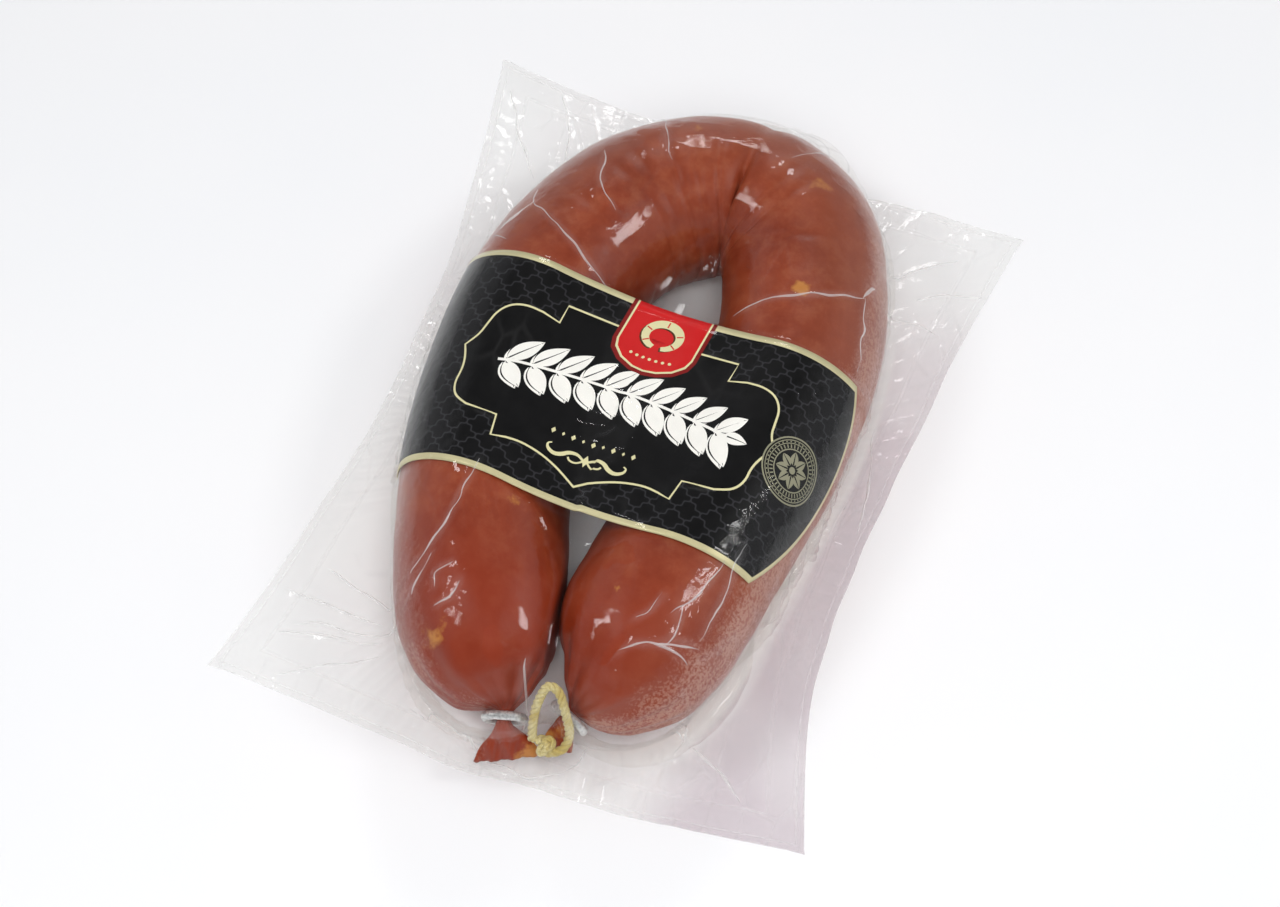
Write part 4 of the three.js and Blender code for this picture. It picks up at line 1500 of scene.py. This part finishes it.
# %% Folded strips along the pleats
outward = facing(sheet).reshape(-1, 3)
sheet_points = sheet.reshape(-1, 3)
PROFILE = np.array([(-1.0, -0.1), (-0.45, 0.55), (0.0, 0.8), (0.45, 0.55), (1.0, -0.1)])  # across, up
NEIGHBOURS, NEAREST_SQUARE = 8, 0.08  # film points that place each point of a strip
strips = []
for number, (height, width, path) in enumerate(PLEATS):
    fine = spline([(x, y, 0) for x, y in path], 0.5)
    fine[:, 0] += 0.5 * lumps(fine, 9, 60 + number)
    fine[:, 1] += 0.5 * lumps(fine, 9, 90 + number)
    span = ((sheet_points[None, :, :2] - fine[:, None, :2]) ** 2).sum(-1)
    nearest = np.argpartition(span, NEIGHBOURS, axis=1)[:, :NEIGHBOURS]
    weight = 1 / (np.take_along_axis(span, nearest, 1) + NEAREST_SQUARE)
    weight = (weight / weight.sum(1, keepdims=True))[..., None]
    foot, up = (sheet_points[nearest] * weight).sum(1), (outward[nearest] * weight).sum(1)
    for _ in range(4):
        foot[1:-1] = 0.5 * foot[1:-1] + 0.25 * (foot[:-2] + foot[2:])
        up[1:-1] = 0.5 * up[1:-1] + 0.25 * (up[:-2] + up[2:])
    slope = np.gradient(foot, axis=0)
    beside = np.cross(slope, up)
    beside /= np.linalg.norm(beside, axis=1, keepdims=True)
    along = np.linspace(0, 1, len(fine))
    taper = np.sin(np.pi * np.clip(along, 0.02, 0.98)) ** 0.5 * (0.75 + 0.5 * lumps(fine, 7, 120 + number))
    taper = np.maximum(taper, 0.05)[:, None, None]
    across = PROFILE[None, :, :1] * beside[:, None] * width * 0.62
    rise = PROFILE[None, :, 1:] * up[:, None] * height * 0.75
    strips.append((foot[:, None] + (across + rise) * taper).reshape(-1, 3))
print("pleat strips", len(strips), "with", sum(map(len, strips)), "points")

# %% Lower film: under the ring, level with the seam elsewhere
rim_near, rim_far, rim_left, rim_right = sheet[0], sheet[-1], sheet[:, 0], sheet[:, -1]
lower_plan = patch(rim_near[:, :2], rim_far[:, :2], rim_left[:, :2], rim_right[:, :2])
lower_x, lower_y = lower_plan[..., 0], lower_plan[..., 1]
span = np.sqrt((lower_x[..., None] - LINE[::2, 0]) ** 2 + (lower_y[..., None] - LINE[::2, 1]) ** 2)
closest = np.argmin(span - LINE[::2, 3], axis=-1)
span = np.take_along_axis(span, closest[..., None], -1)[..., 0]
bottom_radius = LINE[::2, 3][closest] + CLEARANCE
hull = LINE[::2, 2][closest] - np.sqrt(np.maximum(bottom_radius**2 - span**2, 0))
hull = np.where(span < bottom_radius, np.maximum(hull, 0.25), 60)
lower_points = np.column_stack([lower_x.ravel(), lower_y.ravel(), 0 * lower_x.ravel()])
flange_z = seam_height(lower_x, lower_y) - 0.3
slow_waves = 0.7 * lumps(lower_points, 60, 33).reshape(lower_x.shape)
flange_z = flange_z + slow_waves * soft_step(span - bottom_radius, 4, 24)
flange_z = flange_z + 0.25 * np.minimum(0, lumps(lower_points, 14, 37)).reshape(lower_x.shape)
blend = 2.0
lower_z = -np.log(np.exp(-np.minimum(hull, 40) / blend) + np.exp(-flange_z / blend)) * blend
lower_z = np.where(hull < 2, np.minimum(lower_z, hull), lower_z)
under = np.clip(hull - 0.1, 0.2, None)
lower_z = np.maximum(np.minimum(lower_z, under), 0.2)
rim_z = patch(
    *(np.concatenate([e[:, 2:], e[:, 2:]], 1) for e in (rim_near, rim_far, rim_left, rim_right))
)[..., 0]
rim_weight = 1 - soft_step(edge_mm, 0.5, 8)
lower_z = lower_z * (1 - rim_weight) + (rim_z - 0.12) * rim_weight
lower = np.concatenate([lower_plan, np.maximum(lower_z, 0.2)[..., None]], -1)
print("lower film from %.2f to %.2f mm" % (lower[..., 2].min(), lower[..., 2].max()))

# %% [markdown]
# ## Clear film
#
# The pouch is a laminate of nylon and polyethylene a tenth of a millimetre thick.  It hardly
# colours what is behind it; the eye finds it by mirror-like streaks, which are strongest where it
# is seen edge-on, and by a milk-white haze where it is creased or doubled.  Solid glass would bend the
# view, which a thin film does not, so the shader lets light straight through and lays over it a
# share of mirror that grows towards grazing, and a share of white haze.  In the ring's hole that
# haze is partly painted light, and the faint lavender tint is deepened into painted shade on the
# right flange.

# %% Film material
clear_film, tree, output = new_material("nylon_polyethylene_film")
place = add(tree, "TexCoord").outputs["Object"]
stretch = add(tree, "Mapping", {"Vector": place, "Scale": (1.0, 0.55, 1.0), "Rotation": (0, 0, 0.35)})
rumple = add(
    tree,
    "TexNoise",
    {
        "Vector": stretch.outputs["Vector"],
        "Scale": 1000 / 9.0,
        "Detail": 5.0,
        "Roughness": 0.62,
        "Distortion": 0.8,
    },
)
creases = add(
    tree, "TexVoronoi", {"Vector": stretch.outputs["Vector"], "Scale": 1000 / 7.0}, feature="DISTANCE_TO_EDGE"
)
crease_line = add(
    tree,
    "MapRange",
    {"Value": creases.outputs["Distance"], "From Min": 0.0, "From Max": 0.09, "To Min": 1.0, "To Max": 0.0},
)
some = add(tree, "TexNoise", {"Vector": place, "Scale": 1000 / 32.0, "Detail": 2.0})
here = add(
    tree,
    "MapRange",
    {"Value": some.outputs["Fac"], "From Min": 0.48, "From Max": 0.66, "To Min": 0.0, "To Max": 1.0},
)
loose = add(tree, "Attribute", attribute_name="loose")
crease_where = add(tree, "Math", {0: here.outputs[0], 1: loose.outputs["Fac"]}, operation="MULTIPLY")
crease_here = add(tree, "Math", {0: crease_line.outputs[0], 1: crease_where.outputs[0]}, operation="MULTIPLY")
crumpled = add(tree, "Attribute", attribute_name="crinkled")
facets = add(tree, "TexVoronoi", {"Vector": place, "Scale": 1000 / 2.4}, feature="SMOOTH_F1")
fine_relief = add(
    tree, "Math", {0: facets.outputs["Distance"], 1: crumpled.outputs["Fac"]}, operation="MULTIPLY"
)
coarse_relief = add(
    tree, "Math", {0: crease_here.outputs[0], 1: 0.3, 2: rumple.outputs["Fac"]}, operation="MULTIPLY_ADD"
)
relief = add(
    tree, "Math", {0: fine_relief.outputs[0], 1: 2.2, 2: coarse_relief.outputs[0]}, operation="MULTIPLY_ADD"
)
wavy = add(tree, "Bump", {"Height": relief.outputs[0], "Strength": 0.5, "Distance": 0.5 * MM})
# a film mirrors a few percent head-on and most of what it is given edge-on
edge_on = add(tree, "LayerWeight", {"Blend": 0.5, "Normal": wavy.outputs["Normal"]}).outputs["Facing"]
steep = add(tree, "Math", {0: edge_on, 1: 4.5}, operation="POWER")
two_faces = add(
    tree, "Math", {0: steep.outputs[0], 1: 0.7, 2: 0.028}, operation="MULTIPLY_ADD", use_clamp=True
)
# the film's faint lavender tint, deepened in slow clouds into painted shade on the right flange
cloudy = add(tree, "TexNoise", {"Vector": place, "Scale": 1000 / 38.0, "Detail": 1.0})
shade_here = add(
    tree,
    "Math",
    {0: cloudy.outputs["Fac"], 1: add(tree, "Attribute", attribute_name="shade").outputs["Fac"]},
    operation="MULTIPLY",
)
tint_and_shade = add(tree, "ValToRGB", {"Fac": shade_here.outputs[0]}, [(0.08, "#fdfdfc"), (0.42, "#eee9eb")])
through = add(tree, "BsdfTransparent", {"Color": tint_and_shade.outputs["Color"]})
mirror = add(
    tree,
    "BsdfPrincipled",
    {"Base Color": (1, 1, 1, 1), "Metallic": 1.0, "Roughness": 0.07, "Normal": wavy.outputs["Normal"]},
)
gloss = add(tree, "MixShader", {0: two_faces.outputs[0], 1: through.outputs[0], 2: mirror.outputs[0]})
milk_and_light = add(tree, "Attribute", attribute_name="milky_and_painted_light")
edge = add(tree, "Attribute", attribute_name="edge_mm")
# the weld: a finely knurled band from 1.5 to 8 mm inside the edge, bordered by two lines
weld_tone = add(
    tree,
    "ValToRGB",
    {
        "Fac": add(
            tree, "MapRange", {"Value": edge.outputs["Fac"], "From Min": 0.0, "From Max": 10.0}
        ).outputs[0]
    },
    [
        (0.0, "#c0c0c0"), (0.05, "#202020"), (0.14, "#202020"), (0.17, "#c8c8c8"),
        (0.21, "#585858"), (0.74, "#484848"), (0.78, "#c0c0c0"), (0.83, "#000000"),
    ],
)
knurl = add(tree, "TexVoronoi", {"Vector": place, "Scale": 1000 / 0.9})
toothed = add(tree, "Math", {0: knurl.outputs["Distance"], 1: 0.5, 2: 0.45}, operation="MULTIPLY_ADD")
weld = add(tree, "Math", {0: toothed.outputs[0], 1: weld_tone.outputs["Color"]}, operation="MULTIPLY")
weld = add(tree, "Math", {0: weld.outputs[0], 1: 0.32}, operation="MULTIPLY")
# the haze share: creases, doubled film and the weld, plus painted light in the shaded hollows
veil_and_painted_light = add(tree, "Math", {0: milk_and_light.outputs["Fac"], 1: 0.5, 2: weld.outputs[0]}, operation="MULTIPLY_ADD")
veil_and_painted_light = add(
    tree,
    "Math",
    {0: crease_here.outputs[0], 1: 0.10, 2: veil_and_painted_light.outputs[0]},
    operation="MULTIPLY_ADD",
    use_clamp=True,
)
haze = add(
    tree,
    "BsdfPrincipled",
    {"Base Color": linear("#eceaea"), "Roughness": 0.3, "Normal": wavy.outputs["Normal"]},
)
film = add(tree, "MixShader", {0: veil_and_painted_light.outputs[0], 1: gloss.outputs[0], 2: haze.outputs[0]})
tree.links.new(film.outputs[0], output.inputs["Surface"])
print("film material with", len(tree.nodes), "nodes")

# %% Make both films
rows, columns = edge_mm.shape
quads = grid_faces(rows, columns)
parts = [(sheet.reshape(-1, 3), [list(map(int, q)) for q in quads])]
for strip in strips:
    parts.append((strip, [list(map(int, q)) for q in grid_faces(len(strip) // len(PROFILE), len(PROFILE))]))
strip_points = sum(map(len, strips))
upper_fields = {}
for name, field, on_strip in (
    ("milky_and_painted_light", milky_and_painted_light, 0.85),
    ("edge_mm", edge_mm, 50.0),
    ("loose", loose_mask, 0.1),
    ("shade", shade, 0.0),
    ("crinkled", crinkled, 0.5),
):
    upper_fields[name] = np.concatenate([field.ravel(), np.full(strip_points, on_strip)])
upper_film = make_object("upper_film", *join(parts), [clear_film], fields=upper_fields)
lower_film = make_object(
    "lower_film", lower.reshape(-1, 3), quads[:, ::-1], [clear_film], fields={
        "milky_and_painted_light": milky_and_painted_light * 0.2, "edge_mm": edge_mm, "loose": loose_mask, "shade": shade, "crinkled": crinkled
    }
)
for piece, node in ((upper_film, "pouch_upper_film"), (lower_film, "pouch_lower_film")):
    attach(piece, "root")
    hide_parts(node)
    # a tenth of a millimetre of clear film casts no shadow that shows
    piece.visible_shadow = piece.visible_diffuse = False
print("films:", [len(piece.data.polygons) for piece in (upper_film, lower_film)], "faces")


# %% [markdown]
# ## Print the sizes
#
# The visual model has to fill the same box as the CAD model, give or take the film's wrinkles.

# %% Sizes
bpy.context.view_layer.update()
visual_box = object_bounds()
for word, (low, high) in (("CAD", cad_box), ("visual", visual_box)):
    print(word, "box mm", [round(c / MM, 1) for c in low], [round(c / MM, 1) for c in high])
